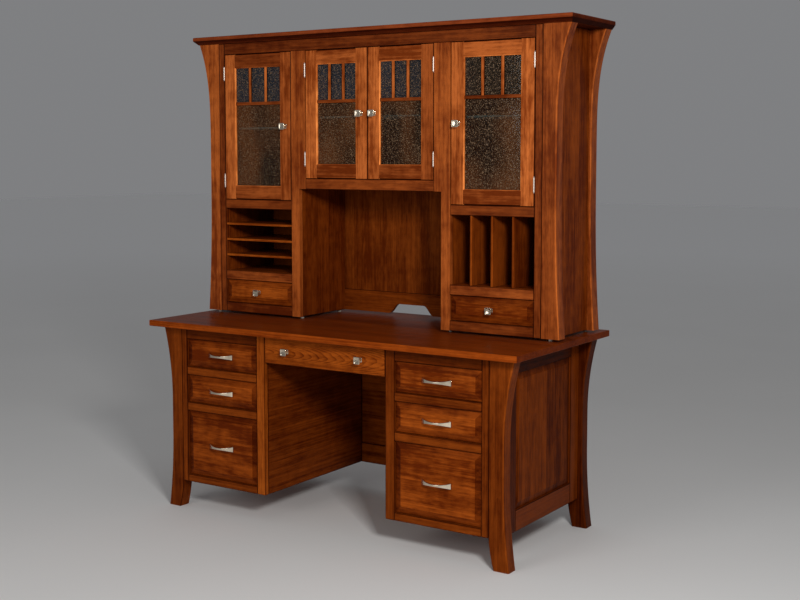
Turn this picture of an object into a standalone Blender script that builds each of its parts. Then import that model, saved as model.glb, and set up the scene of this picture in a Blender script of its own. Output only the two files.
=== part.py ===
"""Desk with a hutch: two drawer pedestals under a wide top, and glazed cupboards standing on it.

Metres, +Z up. The origin is on the floor below the middle of the desk top. The user sits on the -Y side,
and left and right are the user's own.
"""
import math

import bmesh
import bpy
import numpy as np
from mathutils import Vector

for old in list(bpy.data.objects):
    bpy.data.objects.remove(old, do_unlink=True)

# Clearances
FIT = 0.0003                    # between pieces that touch
REVEAL = 0.002                  # round each inset drawer front and door

# Desk top
DESK_HEIGHT = 0.762
TOP_WIDTH = 1.676
TOP_DEPTH = 0.750
TOP_THICKNESS = 0.024
TOP_EDGE = 0.003                # eased edges
SIDE_OVERHANG = 0.033           # beyond the tops of the legs
FRONT_OVERHANG = 0.049
BACK_OVERHANG = 0.028

# Flared legs of the desk
LEG_DEPTH = 0.050
LEG_WAIST = 0.058               # width between the two flares
LEG_TOP_FLARE = 0.040
LEG_TOP_CURVE = 0.290           # height over which the top flares
LEG_FOOT_FLARE = 0.022
LEG_FOOT_CURVE = 0.300
LEG_FOOT_KICK = 0.020           # how far the inner edge of the foot turns out
LEG_POWER = 2.0                 # each flare grows with this power of the height
KICK_POWER = 1.5
EDGE_ROUND = 0.006              # outer front edge of legs and posts
TOP_CURVE_STEPS = 9             # loops along each curve
FOOT_CURVE_STEPS = 7
KICK_STEPS = 3
ROUND_STEPS = 3

# Pedestals
FLOOR_GAP = 0.111               # under the pedestals
KNEEHOLE_WIDTH = 0.560
BOARD = 0.019                   # case boards
FRAME_THICKNESS = 0.020         # face frames
INNER_STILE = 0.039
OUTER_STILE = 0.028
TOP_RAIL = 0.045
DRAWER_RAIL = 0.032
BOTTOM_RAIL = 0.029
SMALL_DRAWER_HEIGHT = 0.113     # openings of the top and middle drawers
SIDE_RECESS = 0.016             # case side behind the outer face of the legs
BACK_RECESS = 0.006
SIDE_STILE = 0.068
SIDE_TOP_RAIL = 0.066
SIDE_BOTTOM_RAIL = 0.076
RUNNER_HEIGHT = 0.014
MODESTY_RAIL = 0.083            # along the foot of the modesty panel
MODESTY_RAIL_PROUD = 0.004

# Raised panels
PANEL_BEVEL = 0.024             # width of the bevel round the field
PANEL_DROP = 0.008              # depth of the bevel at the edge
PANEL_STEP = 0.0015             # little shoulder at the field
PANEL_TONGUE = 0.006            # side panels enter their frame this far
PANEL_THICKNESS = 0.014

# Drawers
FRONT_THICKNESS = 0.019
BOX_WALL = 0.012
BOX_BOTTOM = 0.006
BOX_BOTTOM_UP = 0.006           # bottom board above the lower edge of the box sides
BOX_SIDE_GAP = 0.004            # box side inside the edge of its front
BOX_TENON = 0.004               # box sides enter the back of the front
BOX_HEADROOM = 0.022            # opening above the box sides
PEDESTAL_BOX_LENGTH = 0.540
PENCIL_HEIGHT = 0.109           # opening of the pencil drawer below the desk top
PENCIL_BOX_LENGTH = 0.400
PENCIL_SIDE_GAP = 0.016
PENCIL_LIFT = 0.016
HUTCH_BOX_LENGTH = 0.250

# Hutch
HUTCH_HEIGHT = 1.155            # above the desk top
HUTCH_DEPTH = 0.340
HUTCH_SETBACK = 0.294           # behind the front of the legs
HUTCH_SIDE_INSET = 0.013        # foot of the posts inside the end of the desk top
PAD_HEIGHT = 0.010
PAD_INSET = 0.014
POST_DEPTH = 0.050
POST_WAIST = 0.055
POST_TOP_FLARE = 0.055
POST_TOP_CURVE = 0.440
POST_FOOT_FLARE = 0.018
POST_FOOT_CURVE = 0.480
POST_TOP_POWER = 3.3
POST_FOOT_POWER = 2.0
HUTCH_SIDE_RECESS = 0.010
HUTCH_BACK_RECESS = 0.012
BACK_THICKNESS = 0.012
BACK_RAIL_PROUD = 0.005
BACK_RAIL_HEIGHT = 0.089
NOTCH_WIDTH = 0.218             # wire notch, along the foot of the back
NOTCH_TOP_WIDTH = 0.122
NOTCH_HEIGHT = 0.040
NOTCH_STEPS = 6
CENTRE_WIDTH = 0.668            # open space between the partitions
CENTRE_HEIGHT = 0.519
CENTRE_RAIL = 0.042
PARTITION = 0.039
CENTRE_STILE_LAP = 0.032        # wider stile beside the centre doors
HUTCH_STILE = 0.029
HUTCH_TOP_RAIL = 0.046
HUTCH_BAY_RAIL = 0.038
HUTCH_DRAWER_HEIGHT = 0.097
SLOTS_HEIGHT = 0.260
SLOT_COUNT = 4
SLOT_BOARD = 0.008
SLOT_SETBACK = 0.004            # front edges of slot boards behind the face frame
PIN_REACH = 0.009
PIN_WIDTH = 0.008
PIN_HEIGHT = 0.006
PIN_FROM_END = 0.030
SHELF_THICKNESS = 0.006
SHELF_SIDE_GAP = 0.0015
LEFT_SHELF_UP = 0.292           # above the cupboard floor
CENTRE_SHELF_UP = 0.241
RIGHT_SHELF_UP = 0.323

# Crown
CROWN_LIP = 0.015
CROWN_BEVEL_HEIGHT = 0.015
CROWN_FRONT_OVERHANG = 0.024
CROWN_SIDE_OVERHANG = 0.014
CROWN_SEAT = 0.002              # flat underside beyond the posts

# Glazed doors
DOOR_THICKNESS = 0.020
DOOR_RAIL = 0.056
DOOR_LIP = 0.008                # wood in front of the glass
GLASS_THICKNESS = 0.004
GLASS_GROOVE = 0.007
MUNTIN = 0.013
MUNTIN_SETBACK = 0.002
UPPER_PANE_HEIGHT = 0.139
UPPER_PANES = 3

# Hardware
HINGE_LENGTH = 0.052
HINGE_FROM_END = 0.052
HINGE_RADIUS = 0.0032
HINGE_TIP = 0.004
HINGE_SIDES = 14
KNOB_FACE = 0.027
KNOB_NECK = 0.011
KNOB_FOOT = 0.017
KNOB_FOOT_THICKNESS = 0.003
KNOB_PROJECTION = 0.025
KNOB_EDGE = 0.0025
KNOB_DISH = 0.0015
KNOB_STEPS = 5
KNOB_FROM_EDGE = 0.030          # on the door stiles
PENCIL_KNOB_SPACING = 0.340
PULL_LENGTH = 0.121
PULL_PROJECTION = 0.028
PULL_END_PROJECTION = 0.0055
PULL_BAR = 0.005
PULL_MID_HEIGHT = 0.0085
PULL_END_HEIGHT = 0.021
PULL_FOOT = 0.008
PULL_EDGE = 0.0013
PULL_POWER = 1.5                # how sharply the bar widens towards its feet
PULL_STEPS = 8

# Places that follow from the sizes above
SIDES = {"left": -1, "right": 1}
FACE_Y = FRONT_OVERHANG - TOP_DEPTH / 2
LEG_BACK_Y = TOP_DEPTH / 2 - BACK_OVERHANG
UNDER_TOP = DESK_HEIGHT - TOP_THICKNESS
LEG_SEAM = TOP_WIDTH / 2 - SIDE_OVERHANG - LEG_TOP_FLARE - LEG_WAIST
KNEE_X = KNEEHOLE_WIDTH / 2
BAY_INNER = KNEE_X + INNER_STILE
BAY_OUTER = LEG_SEAM - OUTER_STILE
CASE_FRONT = FACE_Y + FRAME_THICKNESS + FIT
CASE_BACK_OUT = LEG_BACK_Y - BACK_RECESS
CASE_BACK_IN = CASE_BACK_OUT - BOARD
CASE_SIDE_OUT = LEG_SEAM + LEG_WAIST - SIDE_RECESS
TOP_DRAWER_TOP = UNDER_TOP - TOP_RAIL
TOP_DRAWER_FOOT = TOP_DRAWER_TOP - SMALL_DRAWER_HEIGHT
MIDDLE_DRAWER_TOP = TOP_DRAWER_FOOT - DRAWER_RAIL
MIDDLE_DRAWER_FOOT = MIDDLE_DRAWER_TOP - SMALL_DRAWER_HEIGHT
FILE_DRAWER_TOP = MIDDLE_DRAWER_FOOT - DRAWER_RAIL
FILE_DRAWER_FOOT = FLOOR_GAP + BOTTOM_RAIL
PEDESTAL_OPENINGS = {
    "top": (TOP_DRAWER_FOOT, TOP_DRAWER_TOP),
    "middle": (MIDDLE_DRAWER_FOOT, MIDDLE_DRAWER_TOP),
    "file": (FILE_DRAWER_FOOT, FILE_DRAWER_TOP),
}
PENCIL_FOOT = UNDER_TOP - PENCIL_HEIGHT

HUTCH_FACE_Y = FACE_Y + HUTCH_SETBACK
HUTCH_BACK_Y = HUTCH_FACE_Y + HUTCH_DEPTH
HUTCH_FOOT = DESK_HEIGHT + PAD_HEIGHT
HUTCH_TOP = DESK_HEIGHT + HUTCH_HEIGHT - CROWN_LIP - CROWN_BEVEL_HEIGHT
POST_SEAM = TOP_WIDTH / 2 - HUTCH_SIDE_INSET - POST_FOOT_FLARE - POST_WAIST
POST_TOP_OUT = POST_SEAM + POST_WAIST + POST_TOP_FLARE
HUTCH_SIDE_OUT = POST_SEAM + POST_WAIST - HUTCH_SIDE_RECESS
HUTCH_SIDE_IN = HUTCH_SIDE_OUT - BOARD
BETWEEN_POSTS = (HUTCH_FACE_Y + POST_DEPTH + FIT, HUTCH_BACK_Y - POST_DEPTH - FIT)
BACK_FRONT_Y = HUTCH_BACK_Y - HUTCH_BACK_RECESS - BACK_THICKNESS
HUTCH_INSIDE = (HUTCH_FACE_Y + FRAME_THICKNESS + FIT, BACK_FRONT_Y - FIT)
CENTRE_X = CENTRE_WIDTH / 2
SIDE_BAY_INNER = CENTRE_X + PARTITION
SIDE_BAY_OUTER = POST_SEAM - HUTCH_STILE
CENTRE_DOOR_X = CENTRE_X - CENTRE_STILE_LAP
HUTCH_DRAWER_FOOT = HUTCH_FOOT + HUTCH_BAY_RAIL
HUTCH_DRAWER_TOP = HUTCH_DRAWER_FOOT + HUTCH_DRAWER_HEIGHT
SLOTS_FOOT = HUTCH_DRAWER_TOP + HUTCH_BAY_RAIL
SLOTS_TOP = SLOTS_FOOT + SLOTS_HEIGHT
DOOR_FOOT = SLOTS_TOP + HUTCH_BAY_RAIL
DOOR_TOP = HUTCH_TOP - HUTCH_TOP_RAIL
CENTRE_TOP = HUTCH_FOOT + CENTRE_HEIGHT
CENTRE_DOOR_FOOT = CENTRE_TOP + CENTRE_RAIL


# Modelling helpers

FLAT_ANGLE = math.radians(0.2)  # faces closer to level than this are merged
SHARP_ANGLE = math.radians(35)


def finish(name, colour, roughness, metallic=0.0, alpha=1.0):
    """A Principled material."""
    material = bpy.data.materials.new(name)
    material.use_nodes = True
    shader = material.node_tree.nodes["Principled BSDF"]
    shader.inputs["Base Color"].default_value = (*colour, 1.0)
    shader.inputs["Roughness"].default_value = roughness
    shader.inputs["Metallic"].default_value = metallic
    shader.inputs["Alpha"].default_value = alpha
    material.diffuse_color = (*colour, alpha)
    return material


CHERRY = finish("cherry", (0.22, 0.060, 0.017), 0.38)
CHERRY_DOOR = finish("cherry_door", (0.30, 0.085, 0.018), 0.38)
CHERRY_DARK = finish("cherry_dark", (0.13, 0.038, 0.013), 0.45)
NICKEL = finish("brushed_nickel", (0.62, 0.58, 0.52), 0.30, metallic=1.0)
SEEDED_GLASS = finish("seeded_glass", (0.10, 0.09, 0.08), 0.12, alpha=0.6)
CLEAR_GLASS = finish("clear_glass", (0.45, 0.58, 0.52), 0.05, alpha=0.4)


def node(name, shape, material, pivot=(0.0, 0.0, 0.0), carrier=None, smooth=False):
    """Link a shape drawn in world coordinates as an object whose origin is the pivot."""
    bmesh.ops.translate(shape, verts=shape.verts, vec=-Vector(pivot))
    mesh = bpy.data.meshes.new(name)
    shape.to_mesh(mesh)
    shape.free()
    if smooth:
        mesh.shade_smooth()
        mesh.set_sharp_from_angle(angle=SHARP_ANGLE)
    mesh.materials.append(material)
    piece = bpy.data.objects.new(name, mesh)
    bpy.context.scene.collection.objects.link(piece)
    piece.location = pivot
    if carrier:
        piece.parent = carrier
        piece.location = Vector(pivot) - carrier.location
    return piece


def loft(loops):
    """Skin a stack of closed loops with equal point counts and cap both ends."""
    shape = bmesh.new()
    rings = [[shape.verts.new(point) for point in loop] for loop in loops]
    count = len(rings[0])
    for low, high in zip(rings, rings[1:]):
        for i in range(count):
            j = (i + 1) % count
            shape.faces.new((low[i], low[j], high[j], high[i]))
    shape.faces.new(rings[0])
    shape.faces.new(rings[-1])
    bmesh.ops.recalc_face_normals(shape, faces=shape.faces)
    return shape


def joined_boxes(boxes):
    """Union of boxes: their planes cut space into cells, and faces between full and empty cells stay."""
    planes = [sorted({round(v, 6) for box in boxes for v in box[axis]}) for axis in range(3)]
    full = np.zeros([len(p) + 1 for p in planes], dtype=np.int8)
    for box in boxes:
        span = []
        for axis in range(3):
            low, high = sorted(planes[axis].index(round(v, 6)) for v in box[axis])
            span.append(slice(low + 1, high + 1))
        full[tuple(span)] = 1
    shape = bmesh.new()
    corners = {}

    def corner(place):
        if place not in corners:
            corners[place] = shape.verts.new([planes[axis][place[axis]] for axis in range(3)])
        return corners[place]

    for axis in range(3):
        across, up = (axis + 1) % 3, (axis + 2) % 3
        change = np.diff(full, axis=axis)
        for cell in np.argwhere(change):
            quad = []
            for du, dv in ((0, 0), (1, 0), (1, 1), (0, 1)):
                place = [0, 0, 0]
                place[axis] = int(cell[axis])
                place[across] = int(cell[across]) - 1 + du
                place[up] = int(cell[up]) - 1 + dv
                quad.append(corner(tuple(place)))
            if change[tuple(cell)] > 0:
                quad.reverse()
            shape.faces.new(quad)
    bmesh.ops.dissolve_limit(shape, angle_limit=FLAT_ANGLE, verts=shape.verts, edges=shape.edges)
    return shape


def fused(first, *others):
    """Boolean union of shapes that overlap."""
    pieces = []
    for shape in (first, *others):
        mesh = bpy.data.meshes.new("fuse")
        shape.to_mesh(mesh)
        shape.free()
        pieces.append(bpy.data.objects.new("fuse", mesh))
        bpy.context.scene.collection.objects.link(pieces[-1])
    for other in pieces[1:]:
        union = pieces[0].modifiers.new("union", "BOOLEAN")
        union.operation = "UNION"
        union.solver = "EXACT"
        union.object = other
    seen = pieces[0].evaluated_get(bpy.context.evaluated_depsgraph_get())
    result = bmesh.new()
    result.from_mesh(bpy.data.meshes.new_from_object(seen))
    for piece in pieces:
        bpy.data.objects.remove(piece, do_unlink=True)
    bmesh.ops.dissolve_limit(result, angle_limit=FLAT_ANGLE, verts=result.verts, edges=result.edges)
    return result


def extruded(outline, y_range):
    """Prism of an outline drawn in X and Z."""
    return loft([[(x, y, z) for x, z in outline] for y in y_range])


def mirrored(boxes, side):
    """Boxes drawn for the right-hand side, put on either side."""
    return [((side * x[0], side * x[1]), y, z) for x, y, z in boxes]


def ring(outer, hole):
    """Four members round a hole, each ((u range), (v range)), with the first pair running full height."""
    (u0, u1), (v0, v1) = outer
    (a0, a1), (b0, b1) = hole
    return [((u0, a0), (v0, v1)), ((a1, u1), (v0, v1)), ((a0, a1), (v0, b0)), ((a0, a1), (b1, v1))]


def shrunk(rect, by):
    """A rectangle ((u range), (v range)) with every edge moved in."""
    (u0, u1), (v0, v1) = rect
    return ((u0 + by, u1 - by), (v0 + by, v1 - by))


def upright(rect, y):
    """Corner loop of a rectangle that faces along Y."""
    (x0, x1), (z0, z1) = rect
    return [(x0, y, z0), (x1, y, z0), (x1, y, z1), (x0, y, z1)]


# Legs and posts

def flare(height, reach, curve, power):
    """Outward reach of a curve that starts level and grows with a power of the height."""
    return reach * max(0.0, height / curve) ** power


def flared_post(side, y_range, foot, top, seam, waist, top_flare, foot_flare, kick, pad=None):
    """Upright with a straight inner edge and a concave outer edge, drawn as loops up its height.

    top_flare and foot_flare are (reach, curve height, power); kick is (reach, height) of the inner foot;
    pad is (height, inset) of a glide under it."""
    y0, y1 = y_range
    top_reach, top_curve, top_power = top_flare
    foot_reach, foot_curve, foot_power = foot_flare
    heights = {foot + foot_curve * i / FOOT_CURVE_STEPS for i in range(FOOT_CURVE_STEPS + 1)}
    heights |= {top - top_curve * i / TOP_CURVE_STEPS for i in range(TOP_CURVE_STEPS + 1)}
    heights |= {foot + kick[1] * i / KICK_STEPS for i in range(KICK_STEPS + 1)}

    def loop(z, inset=0.0):
        inner = seam + flare(foot + kick[1] - z, *kick, KICK_POWER) + inset
        outer = seam + waist - inset + flare(z - top + top_curve, top_reach, top_curve, top_power)
        outer += flare(foot + foot_curve - z, foot_reach, foot_curve, foot_power)
        arc = [math.pi / 2 * i / ROUND_STEPS for i in range(ROUND_STEPS + 1)]
        front, back = y0 + inset, y1 - inset
        edge = [(outer - EDGE_ROUND * (1 - math.sin(a)), front + EDGE_ROUND * (1 - math.cos(a)))
                for a in arc]
        plan = [(inner, front), *edge, (outer, back), (inner, back)]
        return [(side * x, y, z) for x, y in plan]

    loops = [loop(z) for z in sorted(heights)]
    if pad:
        height, inset = pad
        glide = loop(foot, inset)
        loops = [[(x, y, z - height + FIT) for x, y, z in glide], glide, *loops]
    return loft(loops)


for word, side in SIDES.items():
    rows = {"front": (FACE_Y, FACE_Y + LEG_DEPTH), "back": (LEG_BACK_Y - LEG_DEPTH, LEG_BACK_Y)}
    for row, y_range in rows.items():
        leg = flared_post(
            side, y_range, 0.0, UNDER_TOP - FIT, LEG_SEAM, LEG_WAIST,
            (LEG_TOP_FLARE, LEG_TOP_CURVE, LEG_POWER), (LEG_FOOT_FLARE, LEG_FOOT_CURVE, LEG_POWER),
            (LEG_FOOT_KICK, FLOOR_GAP))
        node(f"leg_{row}_{word}", leg, CHERRY, pivot=(side * LEG_SEAM, y_range[0], 0.0), smooth=True)
    rows = {
        "front": (HUTCH_FACE_Y, HUTCH_FACE_Y + POST_DEPTH),
        "back": (HUTCH_BACK_Y - POST_DEPTH, HUTCH_BACK_Y),
    }
    for row, y_range in rows.items():
        post = flared_post(
            side, y_range, HUTCH_FOOT, HUTCH_TOP - FIT, POST_SEAM, POST_WAIST,
            (POST_TOP_FLARE, POST_TOP_CURVE, POST_TOP_POWER),
            (POST_FOOT_FLARE, POST_FOOT_CURVE, POST_FOOT_POWER),
            (0.0, PAD_HEIGHT), pad=(PAD_HEIGHT, PAD_INSET))
        pivot = (side * POST_SEAM, y_range[0], HUTCH_FOOT)
        node(f"hutch_post_{row}_{word}", post, CHERRY, pivot=pivot, smooth=True)


# Desk top and crown

def plank(half_width, y_range, z):
    """Corner loop of a level board."""
    return [(x * half_width, y, z) for x, y in
            ((-1, y_range[0]), (1, y_range[0]), (1, y_range[1]), (-1, y_range[1]))]


top_rings = [(TOP_EDGE, UNDER_TOP), (0.0, UNDER_TOP + TOP_EDGE), (0.0, DESK_HEIGHT - TOP_EDGE)]
top_rings += [(TOP_EDGE * (1 - math.sqrt(0.5)), DESK_HEIGHT - TOP_EDGE * (1 - math.sqrt(0.5))),
              (TOP_EDGE, DESK_HEIGHT)]
desk_top = loft([plank(TOP_WIDTH / 2 - inset, (inset - TOP_DEPTH / 2, TOP_DEPTH / 2 - inset), z)
                 for inset, z in top_rings])
node("desk_top", desk_top, CHERRY, pivot=(0.0, 0.0, UNDER_TOP))

crown_x = POST_TOP_OUT + CROWN_SIDE_OVERHANG
crown_y = HUTCH_FACE_Y - CROWN_FRONT_OVERHANG
crown_top = HUTCH_TOP + CROWN_BEVEL_HEIGHT + CROWN_LIP
crown = loft([
    plank(POST_TOP_OUT + CROWN_SEAT, (HUTCH_FACE_Y - CROWN_SEAT, HUTCH_BACK_Y), HUTCH_TOP),
    plank(crown_x, (crown_y, HUTCH_BACK_Y), HUTCH_TOP + CROWN_BEVEL_HEIGHT),
    plank(crown_x, (crown_y, HUTCH_BACK_Y), crown_top - TOP_EDGE),
    plank(crown_x - TOP_EDGE, (crown_y + TOP_EDGE, HUTCH_BACK_Y), crown_top),
])
node("hutch_crown", crown, CHERRY, pivot=(0.0, HUTCH_BACK_Y, HUTCH_TOP))


# Pedestals: face frame, case with runners, raised side panel

def pedestal_frame():
    """Stiles and rails round the three drawer openings."""
    depth = (FACE_Y, FACE_Y + FRAME_THICKNESS)
    high = UNDER_TOP - FIT
    boxes = [((KNEE_X, BAY_INNER), depth, (FLOOR_GAP, high)),
             ((BAY_OUTER, LEG_SEAM - FIT), depth, (FLOOR_GAP, high))]
    rails = [(FLOOR_GAP, FILE_DRAWER_FOOT), (FILE_DRAWER_TOP, MIDDLE_DRAWER_FOOT),
             (MIDDLE_DRAWER_TOP, TOP_DRAWER_FOOT), (TOP_DRAWER_TOP, high)]
    return boxes + [((BAY_INNER, BAY_OUTER), depth, rail) for rail in rails]


SIDE_RANGE = (FACE_Y + LEG_DEPTH + FIT, LEG_BACK_Y - LEG_DEPTH - FIT)
SIDE_PANEL = ((SIDE_RANGE[0] + SIDE_STILE, SIDE_RANGE[1] - SIDE_STILE),
              (FLOOR_GAP + SIDE_BOTTOM_RAIL, UNDER_TOP - SIDE_TOP_RAIL))
UNDER_BOX = REVEAL + BOX_SIDE_GAP + BOX_WALL     # runners reach this far inside a drawer opening


def pedestal_case():
    """Inner side, framed outer side, bottom, back, and the runners that carry the drawers."""
    height = (FLOOR_GAP, UNDER_TOP - FIT)
    floor = (FLOOR_GAP, FLOOR_GAP + BOARD)
    leg_side = LEG_SEAM - FIT
    side = (CASE_SIDE_OUT - BOARD, CASE_SIDE_OUT)
    inner = KNEE_X + BOARD
    boxes = [
        ((KNEE_X, inner), (CASE_FRONT, CASE_BACK_OUT), height),
        ((KNEE_X, leg_side), (CASE_BACK_IN, CASE_BACK_OUT), height),
        ((KNEE_X, leg_side), (CASE_FRONT, CASE_BACK_OUT), floor),
        ((leg_side, side[0]), SIDE_RANGE, floor),
    ]
    boxes += [(side, y, z) for y, z in ring((SIDE_RANGE, height), SIDE_PANEL)]
    for foot, _ in PEDESTAL_OPENINGS.values():
        runner = (foot - RUNNER_HEIGHT, foot)
        boxes += [((inner, BAY_INNER + UNDER_BOX), (CASE_FRONT, CASE_BACK_IN), runner),
                  ((BAY_OUTER - UNDER_BOX, side[0]), SIDE_RANGE, runner)]
    pencil_runner = PENCIL_FOOT + PENCIL_LIFT
    boxes.append(((KNEE_X - PENCIL_SIDE_GAP - BOX_WALL, KNEE_X),
                  (CASE_FRONT, CASE_FRONT + PENCIL_BOX_LENGTH),
                  (pencil_runner - RUNNER_HEIGHT, pencil_runner)))
    return boxes


def side_panel(side):
    """Raised panel that fills the framed outer side."""
    ((y0, y1), (z0, z1)) = shrunk(SIDE_PANEL, -PANEL_TONGUE)
    inset = PANEL_TONGUE + PANEL_BEVEL
    face = CASE_SIDE_OUT - PANEL_STEP
    steps = [(0.0, face - PANEL_THICKNESS), (0.0, face - PANEL_DROP),
             (inset, face - PANEL_STEP), (inset, face)]
    return loft([[(side * x, y, z) for y, z in
                  ((y0 + i, z0 + i), (y1 - i, z0 + i), (y1 - i, z1 - i), (y0 + i, z1 - i))]
                 for i, x in steps])


for word, side in SIDES.items():
    node(f"{word}_face_frame", joined_boxes(mirrored(pedestal_frame(), side)), CHERRY,
         pivot=(side * KNEE_X, FACE_Y, FLOOR_GAP))
    case = fused(joined_boxes(mirrored(pedestal_case(), side)), side_panel(side))
    node(f"{word}_pedestal_case", case, CHERRY, pivot=(side * KNEE_X, CASE_FRONT, FLOOR_GAP))

span = (FIT - KNEE_X, KNEE_X - FIT)
modesty = [(span, (CASE_BACK_IN + MODESTY_RAIL_PROUD, CASE_BACK_OUT), (FLOOR_GAP, UNDER_TOP - FIT)),
           (span, (CASE_BACK_IN, CASE_BACK_OUT), (FLOOR_GAP, FLOOR_GAP + MODESTY_RAIL))]
node("modesty_panel", joined_boxes(modesty), CHERRY_DARK, pivot=(0.0, CASE_BACK_OUT, FLOOR_GAP))


# Hutch carcass

def bay_deck(top):
    """Deck of a side bay, notched round the posts, with its upper face at the given height."""
    z_range = (top - BOARD, top)
    return [((SIDE_BAY_INNER, POST_SEAM - FIT), HUTCH_INSIDE, z_range),
            ((POST_SEAM - FIT, HUTCH_SIDE_IN), BETWEEN_POSTS, z_range)]


def bay_pins(walls, top):
    """Four pins that carry a shelf whose underside is at the given height; walls are (x, direction)."""
    z_range = (top - PIN_HEIGHT, top)
    y0, y1 = BETWEEN_POSTS
    pins = []
    for x, way in walls:
        for y in (y0 + PIN_FROM_END, y1 - PIN_FROM_END - PIN_WIDTH):
            pins.append(((x, x + way * PIN_REACH), (y, y + PIN_WIDTH), z_range))
    return pins


def slot_places(low, high):
    """Middles of the boards that divide a range into equal slots."""
    return [low + (high - low) * i / SLOT_COUNT for i in range(1, SLOT_COUNT)]


def hutch_case():
    """Sides, partitions, decks, lined slot bays, shelf pins and the pads below the partitions."""
    top_board = (HUTCH_TOP - BOARD - FIT, HUTCH_TOP - FIT)
    boxes = [((-POST_SEAM + FIT, POST_SEAM - FIT), HUTCH_INSIDE, top_board)]
    boxes.append(((-CENTRE_X, CENTRE_X), HUTCH_INSIDE, (CENTRE_DOOR_FOOT - BOARD, CENTRE_DOOR_FOOT)))
    pads = [(HUTCH_INSIDE[0] + PAD_INSET, HUTCH_INSIDE[0] + PARTITION),
            (HUTCH_INSIDE[1] - PARTITION, HUTCH_INSIDE[1] - PAD_INSET)]
    for side, shelf_up in ((-1, LEFT_SHELF_UP), (1, RIGHT_SHELF_UP)):
        bay = [
            ((CENTRE_X, SIDE_BAY_INNER), HUTCH_INSIDE, (HUTCH_FOOT, top_board[0])),
            ((HUTCH_SIDE_IN, HUTCH_SIDE_OUT), BETWEEN_POSTS, (HUTCH_FOOT, HUTCH_TOP - FIT)),
            ((POST_SEAM - FIT, HUTCH_SIDE_IN), BETWEEN_POSTS, top_board),
            ((SIDE_BAY_OUTER, SIDE_BAY_OUTER + SLOT_BOARD), HUTCH_INSIDE, (SLOTS_FOOT, DOOR_FOOT - BOARD)),
        ]
        for deck in (HUTCH_DRAWER_FOOT, SLOTS_FOOT, DOOR_FOOT):
            bay += bay_deck(deck)
        bay += [((CENTRE_X + PAD_INSET, SIDE_BAY_INNER - PAD_INSET), y, (DESK_HEIGHT + FIT, HUTCH_FOOT))
                for y in pads]
        bay += bay_pins(((SIDE_BAY_INNER, 1), (HUTCH_SIDE_IN, -1)), DOOR_FOOT + shelf_up)
        bay += bay_pins(((CENTRE_X, -1),), CENTRE_DOOR_FOOT + CENTRE_SHELF_UP)
        boxes += mirrored(bay, side)
    front = (HUTCH_FACE_Y + SLOT_SETBACK, HUTCH_INSIDE[0])
    letter_shelves = []
    for z in slot_places(SLOTS_FOOT, SLOTS_TOP):
        z_range = (z - SLOT_BOARD / 2, z + SLOT_BOARD / 2)
        letter_shelves += [((SIDE_BAY_INNER + FIT, SIDE_BAY_OUTER - FIT), front, z_range),
                           ((SIDE_BAY_INNER, SIDE_BAY_OUTER), HUTCH_INSIDE, z_range)]
    boxes += mirrored(letter_shelves, SIDES["left"])
    for x in slot_places(SIDE_BAY_INNER, SIDE_BAY_OUTER):
        x_range = (x - SLOT_BOARD / 2, x + SLOT_BOARD / 2)
        boxes += [(x_range, front, (SLOTS_FOOT + FIT, SLOTS_TOP - FIT)),
                  (x_range, HUTCH_INSIDE, (SLOTS_FOOT, DOOR_FOOT - BOARD))]
    return boxes


def hutch_frame():
    """Stiles and rails of the hutch front."""
    depth = (HUTCH_FACE_Y, HUTCH_FACE_Y + FRAME_THICKNESS)
    high = HUTCH_TOP - FIT
    boxes = [((-CENTRE_X, CENTRE_X), depth, (CENTRE_TOP, CENTRE_DOOR_FOOT)),
             ((-SIDE_BAY_OUTER, SIDE_BAY_OUTER), depth, (DOOR_TOP, high))]
    half = [((SIDE_BAY_OUTER, POST_SEAM - FIT), depth, (HUTCH_FOOT, high)),
            ((CENTRE_X, SIDE_BAY_INNER), depth, (HUTCH_FOOT, high)),
            ((CENTRE_DOOR_X, CENTRE_X), depth, (CENTRE_TOP, high))]
    rails = [(HUTCH_FOOT, HUTCH_DRAWER_FOOT), (HUTCH_DRAWER_TOP, SLOTS_FOOT), (SLOTS_TOP, DOOR_FOOT)]
    half += [((SIDE_BAY_INNER, SIDE_BAY_OUTER), depth, rail) for rail in rails]
    for side in SIDES.values():
        boxes += mirrored(half, side)
    return boxes


def notched(half_width, top):
    """Outline of a board whose foot has a notch with sweeping ends for wires."""
    foot = HUTCH_FOOT
    ease = [(t, NOTCH_HEIGHT * (1 - math.cos(math.pi * t)) / 2) for t in np.linspace(0, 1, NOTCH_STEPS + 1)]
    sweep = (NOTCH_WIDTH - NOTCH_TOP_WIDTH) / 2
    rise = [(-NOTCH_WIDTH / 2 + sweep * t, foot + up) for t, up in ease]
    fall = [(-x, z) for x, z in reversed(rise)]
    return [(-half_width, foot), *rise, *fall, (half_width, foot), (half_width, top), (-half_width, top)]


back_top = HUTCH_TOP - FIT
back = extruded(notched(POST_SEAM - FIT, back_top), (BACK_FRONT_Y, BACK_FRONT_Y + BACK_THICKNESS))
back_rail = extruded(notched(CENTRE_X - FIT, HUTCH_FOOT + BACK_RAIL_HEIGHT),
                     (BACK_FRONT_Y - BACK_RAIL_PROUD, BACK_FRONT_Y + BACK_THICKNESS / 2))

node("hutch_face_frame", joined_boxes(hutch_frame()), CHERRY, pivot=(0.0, HUTCH_FACE_Y, HUTCH_FOOT))
node("hutch_case", joined_boxes(hutch_case()), CHERRY, pivot=(0.0, HUTCH_INSIDE[0], HUTCH_FOOT))
node("hutch_back_panel", fused(back, back_rail), CHERRY_DARK, pivot=(0.0, BACK_FRONT_Y, HUTCH_FOOT))


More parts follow.
